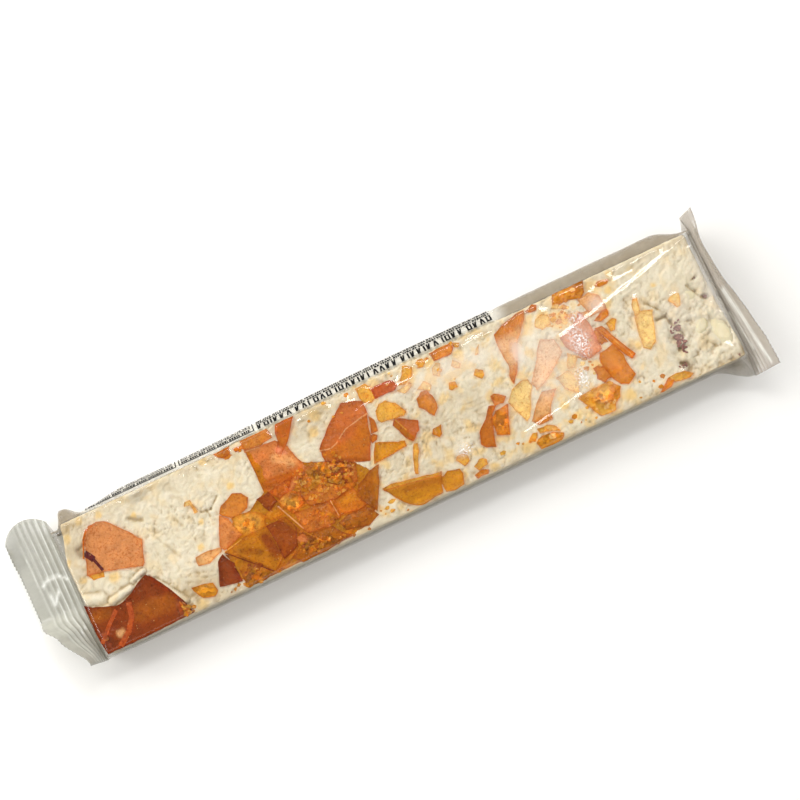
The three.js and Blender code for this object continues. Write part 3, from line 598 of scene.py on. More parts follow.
# Where white grains are painted on the film's top as glitter, a painted highlight where it clings to rough
# caramel: middle and half sizes.
PAINTED_GLITTER_PATCHES = [(55, 3.6, 3.6, 6.5), (51.6, -5.6, 2.6, 4.4), (15, -9.4, 3.2, 2.4), (57, 10, 3, 2.4)]

# Print on the far side: rows of plain marks by distance down from the top edge, and their heights. Beyond
# its left and right ends the film turns plain.
PLAIN_LEFT = (84, 86)
PLAIN_RIGHT = (36.5, 42)
PRINT_TITLE_LEFT = -33.0
PRINT_RIGHT = 37.5
TITLE_ROW = (0.15, 1.65)
TITLE_WIDE = 1.5
TITLE_STROKE = 0.5
TITLE_THIN = 0.3
TITLE_GAP = 0.42
TITLE_WORD_GAP = 0.7
STROKE_POINTS = 6
FINE_ROWS = [(2.0, 0.9), (3.2, 1.4), (5.0, 1.7)]
DASH_GAP = 0.15
FINE_WORD_GAP = 0.4
BOX_ROWS = [(0.55, 0.9), (1.8, 0.6), (2.8, 0.9), (4.1, 1.1)]
BOX_TOP = 0.2
BOX_BOTTOM = 5.9
BOX_EDGES = [(-83.8, -57.0), (-56.2, -34.0)]
BOX_LINE = 0.3
BOX_MARGIN = 0.8
INK_LIFT = 0.05
INK_STEP_ALONG = 1.5
INK_STEP_DOWN = 0.6

# The floor, and the sky's colour by height, in metres and linear colours.
FLOOR_HALF = 3.0
FLOOR_COLOUR = (0.93, 0.93, 0.92, 1.0)
SKY = [(0.80, (1.0, 0.98, 0.95, 1.0)), (0.92, (0.12, 0.12, 0.12, 1.0))]
SKY_STRENGTH = 0.85

# The camera looks almost straight down, with the bar rising to the right across the picture.
PHOTO_SIZE = 800
MM_PER_PIXEL = 186.0 / 696.0
BAR_MIDDLE_PIXEL = (400, 441)
TURN = 25.2
ELEVATION = 84.0
DISTANCE = 600.0
SENSOR = 36.0


def linear(colour):
    """An sRGB colour of 0 to 255 as linear numbers."""
    share = np.asarray(colour, float) / 255.0
    return np.where(share <= 0.04045, share / 12.92, ((share + 0.055) / 1.055) ** 2.4)


def opaque(colour):
    """An sRGB colour as a linear one with full alpha."""
    return (*linear(colour), 1.0)


def smoothstep(value, low, high):
    """0 below low, 1 above high, and a smooth rise between them."""
    share = np.clip((value - low) / (high - low), 0.0, 1.0)
    return share * share * (3.0 - 2.0 * share)


def mix(a, b, share):
    """a where share is 0 and b where it is 1."""
    return a + (b - a) * share


def fractal(x, y, size, octaves=3, seed=0.0):
    """Soft noise of about -1 to 1 whose largest bumps are one size wide."""
    places = zip(np.ravel(x) / size, np.ravel(y) / size)
    values = [noise.fractal(Vector((a, b, seed)), 1.0, 2.0, octaves) for a, b in places]
    return np.reshape(values, np.shape(x))


def lumps(x, y, size, seed=0.0):
    """Rounded lumps of one size: 1 on top of a lump and about 0 in the gaps between."""
    places = zip(np.ravel(x) / size, np.ravel(y) / size)
    near = [noise.voronoi(Vector((a, b, seed)))[0][0] for a, b in places]
    return 1.0 - np.clip(np.reshape(near, np.shape(x)), 0.0, 1.0) ** 2 * 1.6


def to_line(x, y, start, end):
    """Distance from each place to the line between two points."""
    along = np.subtract(end, start)
    share = ((x - start[0]) * along[0] + (y - start[1]) * along[1]) / max(along @ along, 1e-9)
    share = np.clip(share, 0.0, 1.0)
    return np.hypot(x - start[0] - share * along[0], y - start[1] - share * along[1])


def to_path(x, y, points):
    """Distance from each place to a line with bends."""
    return np.min([to_line(x, y, a, b) for a, b in zip(points, points[1:])], 0)


def to_outline(x, y, corners):
    """Distance from each place to a closed outline."""
    return to_path(x, y, corners + corners[:1])


def oval(x, y, middle_x, middle_y, along, wide):
    """How far each place is from the middle of an oval whose edge is at 1."""
    return np.hypot((x - middle_x) / along, (y - middle_y) / wide)


def turned(x, y, angle):
    """Places turned about the origin by an angle in radians."""
    return x * math.cos(angle) - y * math.sin(angle), x * math.sin(angle) + y * math.cos(angle)


def sides(corners):
    """The sides of a closed outline, each as its two ends."""
    return zip(corners, corners[1:] + corners[:1])


def inside(x, y, corners):
    """True for the places that lie inside a closed outline."""
    found = np.zeros(np.shape(x), bool)
    for (x0, y0), (x1, y1) in sides(corners):
        if y0 != y1:
            found ^= ((y0 > y) != (y1 > y)) & (x < x0 + (y - y0) * (x1 - x0) / (y1 - y0))
    return found


def box_grid(nx, ny, nz, plain_underside=False):
    """Lattice places and outward faces of a box split nx by ny by nz. A plain underside is one face."""
    shape = (nx + 1, ny + 1, nz + 1)
    skin = np.ones(shape, bool)
    skin[1:-1, 1:-1, 1:-1] = False
    if plain_underside:
        skin[1:-1, 1:-1, 0] = False
    number = np.full(shape, -1)
    number[skin] = np.arange(skin.sum())

    def quads(sheet, flip):
        corners = [sheet[:-1, :-1], sheet[1:, :-1], sheet[1:, 1:], sheet[:-1, 1:]]
        face = np.stack([c.ravel() for c in corners], 1)
        return face[:, ::-1] if flip else face

    faces = [
        quads(number[:, :, -1], False),
        quads(number[:, 0, :], False), quads(number[:, -1, :], True),
        quads(number[-1, :, :], False), quads(number[0, :, :], True),
    ]
    under = number[:, :, 0]
    if plain_underside:
        rim = [*under[0, :-1], *under[:-1, -1], *under[-1, :0:-1], *under[:0:-1, 0]]
        return np.argwhere(skin), [*np.concatenate(faces), rim]
    return np.argwhere(skin), np.concatenate([*faces, quads(under, True)])


def new_piece(name, points, faces, material, slot, smooth=True):
    """A mesh piece from points in millimetres, riding on the bar."""
    mesh = bpy.data.meshes.new(name)
    mesh.from_pydata((np.asarray(points) * MM).tolist(), [], [list(face) for face in faces])
    mesh.update()
    mesh.polygons.foreach_set("use_smooth", [smooth] * len(mesh.polygons))
    mesh.materials.append(material)
    piece = bpy.data.objects.new(name, mesh)
    bpy.context.scene.collection.objects.link(piece)
    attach(piece, "root")
    return piece


def add_values(piece, name, values):
    """A number at each vertex, for the piece's material."""
    layer = piece.data.attributes.new(name, "FLOAT", "POINT")
    layer.data.foreach_set("value", np.asarray(values, np.float32))


def add_colours(piece, name, colours):
    """A linear colour at each vertex, for the piece's material."""
    layer = piece.data.attributes.new(name, "FLOAT_COLOR", "POINT")
    full = np.ones((len(colours), 4), np.float32)
    full[:, :3] = colours
    layer.data.foreach_set("color", full.ravel())


class Nodes:
    """A new material's node tree, with short calls to add and join nodes."""

    def __init__(self, name):
        self.material = bpy.data.materials.new(name)
        self.material.use_nodes = True
        self.tree = self.material.node_tree
        self.tree.nodes.clear()
        self.output = self.add("ShaderNodeOutputMaterial")

    def add(self, kind, **settings):
        node = self.tree.nodes.new(kind)
        for key, value in settings.items():
            setattr(node, key, value)
        return node

    def set(self, node, **values):
        for key, value in values.items():
            self.feed(node.inputs[key.replace("_", " ")], value)
        return node

    def feed(self, socket, value):
        if isinstance(value, bpy.types.NodeSocket):
            self.tree.links.new(value, socket)
        else:
            socket.default_value = value

    def shader(self, kind, **values):
        return self.set(self.add(kind), **values).outputs[0]

    def principled(self, **values):
        return self.shader("ShaderNodeBsdfPrincipled", **values)

    def attribute(self, name, output="Fac"):
        return self.add("ShaderNodeAttribute", attribute_name=name).outputs[output]

    def math(self, operation, a, b):
        node = self.add("ShaderNodeMath", operation=operation)
        self.feed(node.inputs[0], a)
        self.feed(node.inputs[1], b)
        return node.outputs[0]

    def blend(self, share, a, b, how="MIX"):
        node = self.add("ShaderNodeMix", data_type="RGBA", blend_type=how)
        self.feed(node.inputs[0], share)
        self.feed(node.inputs[6], a)
        self.feed(node.inputs[7], b)
        return node.outputs[2]

    def ramp(self, value, stops):
        node = self.add("ShaderNodeValToRGB")
        elements = node.color_ramp.elements
        while len(elements) < len(stops):
            elements.new(0.5)
        for element, (place, shade) in zip(elements, stops):
            element.position = place
            element.color = (shade, shade, shade, 1.0)
        self.feed(node.inputs[0], value)
        return node.outputs[0]

    def patches(self, value, low, high, dark, light):
        return self.blend(self.ramp(value, [(low, 0.0), (high, 1.0)]), opaque(dark), opaque(light))

    def noise(self, size, detail=4.0, roughness=0.5):
        node = self.add("ShaderNodeTexNoise")
        place = self.add("ShaderNodeTexCoord").outputs["Object"]
        self.set(node, Vector=place, Scale=1.0 / (size * MM), Detail=detail, Roughness=roughness)
        return node.outputs["Fac"]

    def cells(self, size, output="Distance"):
        node = self.add("ShaderNodeTexVoronoi")
        place = self.add("ShaderNodeTexCoord").outputs["Object"]
        self.set(node, Vector=place, Scale=1.0 / (size * MM))
        return node.outputs[output]

    def bump(self, height, depth, strength=1.0):
        node = self.add("ShaderNodeBump")
        self.set(node, Height=height, Distance=depth * MM, Strength=strength)
        return node.outputs[0]

    def mix_shader(self, share, a, b):
        node = self.add("ShaderNodeMixShader")
        self.feed(node.inputs[0], share)
        self.feed(node.inputs[1], a)
        self.feed(node.inputs[2], b)
        return node.outputs[0]

    def finish(self, shader):
        self.tree.links.new(shader, self.output.inputs["Surface"])
        return self.material


def nougat_material():
    """Cream nougat: mottled, with painted shade in its hollows, darker or painted light in listed parts,
    yellow where caramel lies just under the skin.
    """
    n = Nodes("nougat")
    cream = n.patches(n.noise(3.0, 6.0, 0.62), 0.3, 0.72, (216, 205, 178), (231, 222, 201))
    speck = n.ramp(n.noise(0.7, 3.0), [(0.6, 0.0), (0.75, 0.4)])
    cream = n.blend(speck, cream, opaque((200, 184, 150)))
    cream = n.blend(n.attribute("stain"), cream, opaque((236, 196, 112)))
    # painted shade: darker towards this colour in the hollows and listed dim parts, lighter where painted
    # light is listed
    cream = n.blend(n.attribute("painted_shade"), cream, opaque((178, 156, 118)))
    grain = n.math("ADD", n.noise(1.1, 6.0, 0.7), n.math("MULTIPLY", n.cells(0.8), 0.4))
    shader = n.principled(
        Base_Color=cream, Roughness=0.5, Specular_IOR_Level=0.35, Subsurface_Weight=0.1,
        Subsurface_Radius=(0.8, 0.5, 0.3), Subsurface_Scale=MM, Normal=n.bump(grain, 0.24, 0.8),
    )
    return n.finish(shader)


def caramel_material(name, roughness):
    """Hard caramel in each shard's tint: clouds, specks, bubbles and grainy crusts. Lamps shine through."""
    n = Nodes(name)
    cloud = n.ramp(n.noise(2.6, 6.0, 0.65), [(0.3, 0.74), (0.7, 1.26)])
    colour = n.blend(1.0, n.attribute("tint", "Color"), cloud, "MULTIPLY")
    speck = n.ramp(n.noise(0.6, 4.0, 0.7), [(0.53, 0.0), (0.6, 0.9)])
    colour = n.blend(speck, colour, n.blend(1.0, colour, (0.7, 0.5, 0.34, 1.0), "MULTIPLY"))
    bubble = n.ramp(n.cells(1.7), [(0.07, 0.6), (0.12, 0.0)])
    colour = n.blend(bubble, colour, opaque((250, 206, 130)))
    crust = n.attribute("crust")
    grain = n.ramp(n.cells(1.2, "Color"), [(0.25, 0.62), (0.5, 1.06), (0.8, 1.5)])
    colour = n.blend(1.0, colour, n.blend(crust, WHITE, grain), "MULTIPLY")
    ripple = n.math("ADD", n.noise(1.3, 5.0, 0.65), bubble)
    ripple = n.math("ADD", ripple, n.math("MULTIPLY", crust, grain))
    glass = n.principled(
        Base_Color=colour, Roughness=roughness, IOR=1.45, Specular_IOR_Level=0.2,
        Transmission_Weight=0.5, Normal=n.bump(ripple, 0.26, 1.0),
    )
    clear = n.shader("ShaderNodeBsdfTransparent", Color=n.blend(0.5, colour, WHITE))
    lamp = n.add("ShaderNodeLightPath").outputs["Is Shadow Ray"]
    return n.finish(n.mix_shader(lamp, glass, clear))


def film_material():
    """Thin clear film: mirrors more at a slant and is hazy grey where it is crimped or slack; its haze also
    carries painted shade on its long sides, painted highlights on the fins' crests and folds, and painted
    sheen and glitter on its top.
    """
    n = Nodes("clear_film")
    cloud = n.ramp(n.noise(3.0, 3.0), [(0.3, 0.85), (0.7, 1.1)])
    # painted highlight: white grains of glitter
    grains = n.ramp(n.noise(0.5, 4.0, 0.6), [(0.46, 0.0), (0.64, 0.9)])
    painted_glitter = n.attribute("painted_glitter")
    share = n.math("MULTIPLY", n.attribute("haze_and_painted_light"), cloud)
    share = n.math("ADD", share, n.math("MULTIPLY", painted_glitter, grains))
    clear = n.shader("ShaderNodeBsdfTransparent", Color=(0.985, 0.985, 0.98, 1.0))
    # diffuse haze, also carrying painted shade, painted highlights, painted sheen and painted glitter
    dull = n.shader("ShaderNodeBsdfDiffuse", Color=n.blend(painted_glitter, n.attribute("veil", "Color"), WHITE))
    slant = n.set(n.add("ShaderNodeLayerWeight"), Blend=0.5).outputs["Facing"]
    mirror = n.math("ADD", n.math("MULTIPLY", n.math("POWER", slant, 5.0), 0.8), 0.05)
    ripple = n.bump(n.noise(0.7, 3.0), 0.04, 0.4)
    gloss = n.shader("ShaderNodeBsdfGlossy", Roughness=0.09, Color=WHITE, Normal=ripple)
    return n.finish(n.mix_shader(mirror, n.mix_shader(share, clear, dull), gloss))


def nut_material():
    """Peeled nut: pale, waxy, with fine lines."""
    n = Nodes("nut")
    colour = n.patches(n.noise(2.0, 5.0), 0.3, 0.75, (216, 204, 168), (230, 220, 190))
    shader = n.principled(
        Base_Color=colour, Roughness=0.42, Subsurface_Weight=0.3, Subsurface_Radius=(1.8, 1.3, 0.8),
        Subsurface_Scale=MM, Normal=n.bump(n.noise(0.6, 4.0), 0.12, 0.6),
    )
    return n.finish(shader)


def skin_material():
    """Brown nut skin: dry and streaked."""
    n = Nodes("nut_skin")
    colour = n.patches(n.noise(0.5, 4.0), 0.35, 0.7, (98, 58, 52), (172, 120, 106))
    relief = n.bump(n.noise(0.3, 3.0), 0.1, 0.8)
    return n.finish(n.principled(Base_Color=colour, Roughness=0.7, Normal=relief))


def ink_material():
    """Dark ink on film, a little uneven in density."""
    n = Nodes("ink")
    colour = n.patches(n.noise(0.8, 3.0), 0.3, 0.8, (8, 8, 9), (30, 29, 29))
    return n.finish(n.principled(Base_Color=colour, Roughness=0.6, Specular_IOR_Level=0.05))


def floor_material():
    """A matt, almost white floor."""
    n = Nodes("floor")
    return n.finish(n.principled(Base_Color=FLOOR_COLOUR, Roughness=0.8, Specular_IOR_Level=0.1))


def crumbly(x, y):
    """How crumbly the nougat is: the broken lumps of the right end, and a ragged strip by a shard."""
    end = smoothstep(x + 1.5 * fractal(x, y, 6, 2, 2.0), *CRUMBLY_FROM) * smoothstep(-y, *CRUMBLY_NEAR_SIDE)
    strip = smoothstep(RAGGED_REACH - to_line(x, y, *RAGGED_LINE), 0.0, 1.5)
    return np.clip(end + RAGGED_SHARE * strip, 0.0, 1.0)


def flakes(x, y):
    """Torn layers: slow rises that end in sharp drops, from 0 to 1."""
    level = 3.2 * fractal(x, y, 9.0, 3, 31.0)
    step = level - np.floor(level)
    return np.where(step < FLAKE_RISE, step / FLAKE_RISE, (1.0 - step) / (1.0 - FLAKE_RISE))


def bare_nougat_height(x, y):
    """Height of the nougat's top before the shards are pressed in."""
    wave = KNEADING * fractal(x, y, 15, 2, 1.0) + DIMPLES * fractal(x, y, 5, 3, 3.0)
    wave = np.minimum(wave, PRESSED_FROM + PRESSED_SHARE * (wave - PRESSED_FROM))
    worn = smoothstep(fractal(x, y, 11, 2, 17.0), -0.25, 0.3)
    wrinkle = 1.0 - 2.2 * np.abs(fractal(0.8 * x + 0.5 * y, 0.6 * y - 0.3 * x, 2.6, 3, 21.0))
    crevice = np.exp(-((fractal(0.7 * x - 0.6 * y, 0.5 * x + 0.9 * y, 4.4, 3, 26.0) / CREVICE_WIDTH) ** 2))
    height = NOUGAT_TOP - NOUGAT_SETTLED + wave + GRAIN * fractal(x, y, 1.4, 4, 5.0)
    height = height + worn * (WRINKLES * (wrinkle - 0.6) - CREVICES * crevice) + FLAKES * (flakes(x, y) - 0.7)
    warp_x = x + LUMP_WARP * fractal(x, y, 3.0, 3, 41.0)
    warp_y = y + LUMP_WARP * fractal(x, y, 3.0, 3, 42.0)
    broken = 0.6 * lumps(warp_x, warp_y, 4.6, 4.0) + 0.4 * lumps(warp_x, warp_y, 2.0, 9.0) - 0.95
    height = height + crumbly(x, y) * (LUMPS * broken + LUMP_GRAIN * fractal(x, y, 1.2, 3, 8.0))
    for start, end, radius in FOLDS:
        away = to_line(x, y, start, end) + 0.25 * fractal(x, y, 2.2, 2, radius)
        dome = np.sqrt(np.clip(radius ** 2 - away ** 2, 0.0, None))
        height = np.maximum(height, np.where(dome > 0, NOUGAT_TOP + FOLD_RISE - radius + dome, -1.0))
        height = height - FOLD_GAP_DEPTH * np.exp(-(((away - radius) / FOLD_GAP) ** 2))
    for start, end, reach, depth in CRACKS:
        away = to_line(x, y, start, end) + 0.3 * reach * fractal(x, y, 1.5, 2, depth)
        height = height - depth * np.exp(-((away / reach) ** 2))
    return np.minimum(height, NOUGAT_TOP + NOUGAT_HIGHEST)


def hollows(height, reach):
    """How far each place of a grid of heights lies below its surroundings, from 0 to 1."""
    around = height
    for axis in (0, 1, 0, 1):
        padded = np.pad(around, [(reach, reach) if a == axis else (0, 0) for a in (0, 1)], "edge")
        total = np.cumsum(padded, axis)
        last = np.take(total, range(2 * reach, total.shape[axis]), axis)
        first = np.take(total - padded, range(total.shape[axis] - 2 * reach), axis)
        around = (last - first) / (2 * reach + 1)
    return np.clip((around - height) / HOLLOW_DEPTH, 0.0, 1.0)


def shard_top(shard, x, y):
    """Height of a shard's top at a place on it: falling from its ridge, or with a small tilt of its own."""
    if shard.ridge:
        return NOUGAT_TOP + shard.rise - RIDGE_FALL * to_path(x, y, shard.ridge)
    middle_x, middle_y = np.mean(shard.corners, 0)
    along = TILT_ALONG * math.sin(1.7 * middle_x + middle_y)
    across = TILT_ACROSS * math.cos(0.9 * middle_x - 1.3 * middle_y)
    return NOUGAT_TOP + shard.rise + along * (x - middle_x) + across * (y - middle_y)


def nougat_height(x, y):
    """Height of the nougat's top, pressed down under each shard and closing round its edge."""
    height = bare_nougat_height(x, y)
    for shard in SHARDS:
        under = inside(x, y, shard.corners)
        spot = x[under], y[under]
        top = shard_top(shard, *spot)
        deep = to_outline(*spot, shard.corners) > BED_MARGIN
        bed = np.where(deep, top - shard.thick + BED_OVERLAP, top - RIM_SHOWING)
        height[under] = np.minimum(height[under], bed)
    return height


def nougat_points(share):
    """Places of the slab's skin: a rounded block with cut sides, slanted ends and a kneaded top."""
    low = np.array([-HALF_LENGTH, -HALF_WIDTH, NOUGAT_BOTTOM])
    high = np.array([HALF_LENGTH, HALF_WIDTH, NOUGAT_TOP])
    block = mix(low, high, share)
    x, y, z = block.T
    core = np.clip(block, low + NOUGAT_ROUND, high - NOUGAT_ROUND)
    out = block - core
    out /= np.linalg.norm(out, axis=1)[:, None]
    points = core + NOUGAT_ROUND * out
    cut = 0.6 * fractal(x + z, y + 2 * z, 6, 3, 11.0) + 0.2 * fractal(x - 2 * z, y + z, 1.5, 3, 12.0)
    upright = np.clip(1.0 - np.abs(out[:, 2]), 0.0, 1.0)
    points -= out * (upright * (CUT_DEPTH + np.abs(cut)))[:, None]
    slant = mix(LEFT_SLANT * smoothstep(y, 6, 18.7), RIGHT_SLANT * smoothstep(y, -16, 2), share[:, 0])
    points[:, 0] += slant * np.abs(2 * share[:, 0] - 1) ** 6
    swell = SWELL * far_bulge(x) * (1.0 - smoothstep(x, 34, 40)) * smoothstep(x, -48, -36)
    points[:, 1] += np.clip(out[:, 1], 0.0, 1.0) * swell * (1.0 - (2 * share[:, 2] - 1) ** 2)
    lift = nougat_height(points[:, 0], points[:, 1]) - NOUGAT_TOP
    points[:, 2] += np.clip(out[:, 2], 0.0, 1.0) ** 2 * lift
    return points


def nougat_stains(x, y):
    """How yellow the nougat's top is at each place, from 0 to 1."""
    among = smoothstep(x, *WARM_FROM) * (1.0 - smoothstep(x, *WARM_TO))
    warm = mix(WARM_ELSEWHERE, 1.0, among) * WARM_SHARE
    stain = warm * smoothstep(fractal(x, y, 4.2, 4, 61.0), -0.1, 0.55)
    for spot_x, spot_y, reach in STAINS:
        away = np.hypot(x - spot_x, y - spot_y) + 0.5 * fractal(x, y, 1.8, 2, spot_x)
        stain = np.maximum(stain, STAIN_SHARE * (1.0 - smoothstep(away, 0.35 * reach, reach)))
    return stain


def nougat_shade(lattice, x, y):
    """How much painted shade the nougat's top has at each place, from 0 to 1: darker in its hollows and dim
    parts, lighter in its painted-light parts.
    """
    along = np.linspace(-HALF_LENGTH, HALF_LENGTH, NOUGAT_GRID[0] + 1)
    across = np.linspace(-HALF_WIDTH, HALF_WIDTH, NOUGAT_GRID[1] + 1)
    relief = bare_nougat_height(*np.meshgrid(along, across, indexing="ij"))
    # painted shade: darker where the nougat lies below its surroundings
    painted_shade = hollows(relief, 4) + 0.7 * hollows(relief, 2)
    dim = DIM_NEAR_EDGE * smoothstep(-y, 15.0, 18.6) + DIM_FAR_EDGE * smoothstep(y, 13.5, 17.5)
    for *spot, dimness in DIMS:
        dim = dim + dimness * (1.0 - smoothstep(oval(x, y, *spot), 0.4, 1.1))
    uneven = 0.8 + 0.6 * fractal(x, y, 5.0, 3, 51.0)
    return np.clip(HOLLOW_SHARE * painted_shade[lattice[:, 0], lattice[:, 1]] + dim * uneven, 0.0, 1.0)


def build_nougat():
    """The nougat slab as one closed skin: kneaded top, cut sides and rough ends."""
    lattice, faces = box_grid(*NOUGAT_GRID, plain_underside=True)
    share = lattice / np.array(NOUGAT_GRID)
    x = mix(-HALF_LENGTH, HALF_LENGTH, share[:, 0])
    y = mix(-HALF_WIDTH, HALF_WIDTH, share[:, 1])
    upper = share[:, 2] > 0.9
    piece = new_piece("nougat", nougat_points(share), faces, nougat_material(), "nougat")
    add_values(piece, "stain", nougat_stains(x, y) * upper)
    # painted shade in the hollows and dim parts, painted light in the listed lit parts
    add_values(piece, "painted_shade", nougat_shade(lattice, x, y) * upper)


def frayed(corners, jitter, draw):
    """A closed outline with more points, moved a little sideways as broken edges are."""
    ring = []
    for start, end in sides(corners):
        length = math.dist(start, end)
        count = max(1, round(length / EDGE_STEP))
        side = ((end[1] - start[1]) / length, (start[0] - end[0]) / length)
        bow = draw.normal(0, jitter)
        for k in range(count):
            t = k / count
            off = bow * math.sin(math.pi * t) + (draw.normal(0, 0.4 * jitter) if k else 0.0)
            x = mix(start[0], end[0], t) + off * side[0]
            y = mix(start[1], end[1], t) + off * side[1]
            ring.append((x, y))
    return ring


def clockwise(ring):
    """True if an outline runs clockwise seen from above."""
    return sum(x0 * y1 - x1 * y0 for (x0, y0), (x1, y1) in sides(ring)) < 0


def plate(ring, spacing, draw):
    """Triangles that fill an outline, with jittered points inside it: places and faces."""
    flat = np.array(ring)
    (left, near), (right, far) = flat.min(0), flat.max(0)
    grid = np.stack(np.meshgrid(np.arange(left, right, spacing), np.arange(near, far, spacing)), -1)
    grid = grid.reshape(-1, 2) + draw.uniform(-INNER_JITTER, INNER_JITTER, (grid.size // 2, 2)) * spacing
    edge = to_outline(*grid.T, ring)
    grid = grid[inside(*grid.T, ring) & (edge > INNER_MARGIN * spacing)]
    spots = [Vector(p) for p in ring] + [Vector(p) for p in grid.tolist()]
    found = geometry.delaunay_2d_cdt(spots, [], [list(range(len(ring)))], 1, 1e-5)
    return np.array([tuple(p) for p in found[0]]), found[2]


def shard_skin(corners, top, thick, draw, cut):
    """A closed chipped plate: its points, faces and which points are on its rim. top gives its height."""
    ring = frayed(corners, cut.jitter, draw)
    if clockwise(ring):
        ring = ring[::-1]
    flat, faces = plate(ring, cut.spacing, draw)
    count = len(flat)
    middle = np.mean(ring, 0)
    level = top(*flat.T)
    rise = level + cut.wave * fractal(*flat.T, 3.5, 2, thick)
    spread = middle + (flat - middle) * (1.0 + FLARE / max(np.ptp(flat, 0).min(), 1.0))
    points = np.concatenate([np.column_stack([flat, rise]), np.column_stack([spread, level - thick])])
    skin = [tuple(face) for face in faces]
    edges = dict.fromkeys(edge for face in skin for edge in sides(face))
    walls = [(b, a, a + count, b + count) for a, b in edges if (b, a) not in edges]
    below = [tuple(v + count for v in reversed(face)) for face in skin]
    rim = np.tile(np.arange(count) < len(ring), 2)
    return points, skin + below + walls, rim


def caramel_tints(points, rim, tint, streaks, edge):
    """The colour at each point of a shard, with the marks that cross it and a deeper colour at its rim."""
    colours = np.tile(linear(TINTS[tint]), (len(points), 1))
    for streak in streaks:
        away = to_line(points[:, 0], points[:, 1], streak.start, streak.end)
        share = 1.0 - smoothstep(away, 0.5 * streak.reach, 1.2 * streak.reach)
        colours = mix(colours, linear(TINTS[streak.tint]), share[:, None])
    return colours * np.where(rim[:, None], mix(1.0, RIM_FADE, edge), 1.0)


def crustiness(points):
    """How rough the caramel is at each point, from 0 to 1."""
    away = [oval(points[:, 0], points[:, 1], *crust) for crust in CRUSTS]
    return 1.0 - smoothstep(np.min(away, 0), 0.4, 1.1)


def join(parts):
    """Many skins as one: all points, and all faces with their numbers moved along."""
    points, faces, start = [], [], 0
    for part_points, part_faces in parts:
        points.append(part_points)
        faces.extend(tuple(v + start for v in face) for face in part_faces)
        start += len(part_points)
    return np.concatenate(points), faces


def bevel(piece, width):
    """Fine worn edges on a piece, with flat faces kept crisp."""
    piece.data.set_sharp_from_angle(angle=math.radians(32))
    worn = piece.modifiers.new("worn_edges", "BEVEL")
    worn.width = width * MM
    worn.segments = 2
    worn.limit_method = "ANGLE"
    worn.angle_limit = math.radians(40)


def splinter(sliver):
    """A sliver as a shard: an outline at half its width on both sides of its line."""
    left, right = [], []
    for k, point in enumerate(sliver.points):
        before = sliver.points[max(k - 1, 0)]
        after = sliver.points[min(k + 1, len(sliver.points) - 1)]
        along = np.subtract(after, before)
        side = np.array([-along[1], along[0]]) / np.hypot(*along) * sliver.width / 2
        left.append(tuple(np.add(point, side)))
        right.append(tuple(np.subtract(point, side)))
    return Shard(sliver.tint, sliver.rise, SLIVER_THICK, left + right[::-1], sliver.points)


def caramel_piece(name, skins, colours, material, crust_share, worn):
    """One piece of many closed plates of caramel, with the colour of each and the crusts they lie in."""
    points, faces = join(skins)
    piece = new_piece(name, points, faces, material, "caramel")
    add_colours(piece, "tint", np.concatenate(colours))
    add_values(piece, "crust", crust_share * crustiness(points))
    bevel(piece, worn)


def build_shards():
    """All the caramel shards and splinters, as one piece of many closed plates."""
    draw = np.random.default_rng(SEED)
    plates = [(shard, SHARD_CUT, STREAKS, 1.0) for shard in SHARDS]
    plates += [(splinter(sliver), SLIVER_CUT, [], 0.0) for sliver in SLIVERS]
    skins = []
    colours = []
    for shard, cut, streaks, edge in plates:
        points, faces, rim = shard_skin(shard.corners, partial(shard_top, shard), shard.thick, draw, cut)
        skins.append((points, faces))
        colours.append(caramel_tints(points, rim, shard.tint, streaks, edge))
    caramel_piece("caramel_shards", skins, colours, caramel_material("caramel", 0.1), 1.0, 0.07)


def scatter_crumbs():
    """Where the crumbs lie: on the nougat, or on the highest shard there."""
    draw = np.random.default_rng(SEED + 1)
    crumbs = []
    for group in SCATTERS:
        for _ in range(group.count):
            x = group.x + group.along * draw.normal() * 0.7
            y = group.y + group.across * draw.normal() * 0.7
            size = CRUMB_LEAST + CRUMB_RANGE * draw.random() ** 2
            tint = group.tints[draw.integers(len(group.tints))]
            if abs(x) > HALF_LENGTH - CRUMB_END_GAP or abs(y) > HALF_WIDTH - CRUMB_SIDE_GAP:
                continue
            here = np.array([x]), np.array([y])
            base = bare_nougat_height(*here)[0]
            for shard in SHARDS:
                if inside(*here, shard.corners)[0]:
                    base = max(base, float(shard_top(shard, x, y)))
            crumbs.append(Crumb(x, y, size, tint, base + 0.1 + 0.15 * size))
    return crumbs


def crumb_top(crumb, tilt, x, y):
    """Height of a crumb's tilted top at a place on it."""
    return crumb.top + tilt[0] * (x - crumb.x) + tilt[1] * (y - crumb.y)


def build_crumbs(crumbs):
    """Small caramel crumbs pressed into the nougat, and lying on the larger shards."""
    draw = np.random.default_rng(SEED + 2)
    skins = []
    colours = []
    for crumb in crumbs:
        count = draw.integers(4, 7)
        turns = np.sort((np.arange(count) + draw.uniform(-0.3, 0.3, count)) * 2 * math.pi / count)
        reach = crumb.size * draw.uniform(0.7, 1.2, count)
        corners = list(zip(crumb.x + reach * np.cos(turns), crumb.y + 0.8 * reach * np.sin(turns)))
        top = partial(crumb_top, crumb, draw.normal(0, CRUMB_TILT, 2))
        points, faces, rim = shard_skin(corners, top, 0.5 + 0.5 * crumb.size, draw, CRUMB_CUT)
        skins.append((points, faces))
        colours.append(caramel_tints(points, rim, crumb.tint, [], 0.2))
    caramel_piece("caramel_crumbs", skins, colours, caramel_material("caramel_crumb", 0.16), 0.6, 0.08)


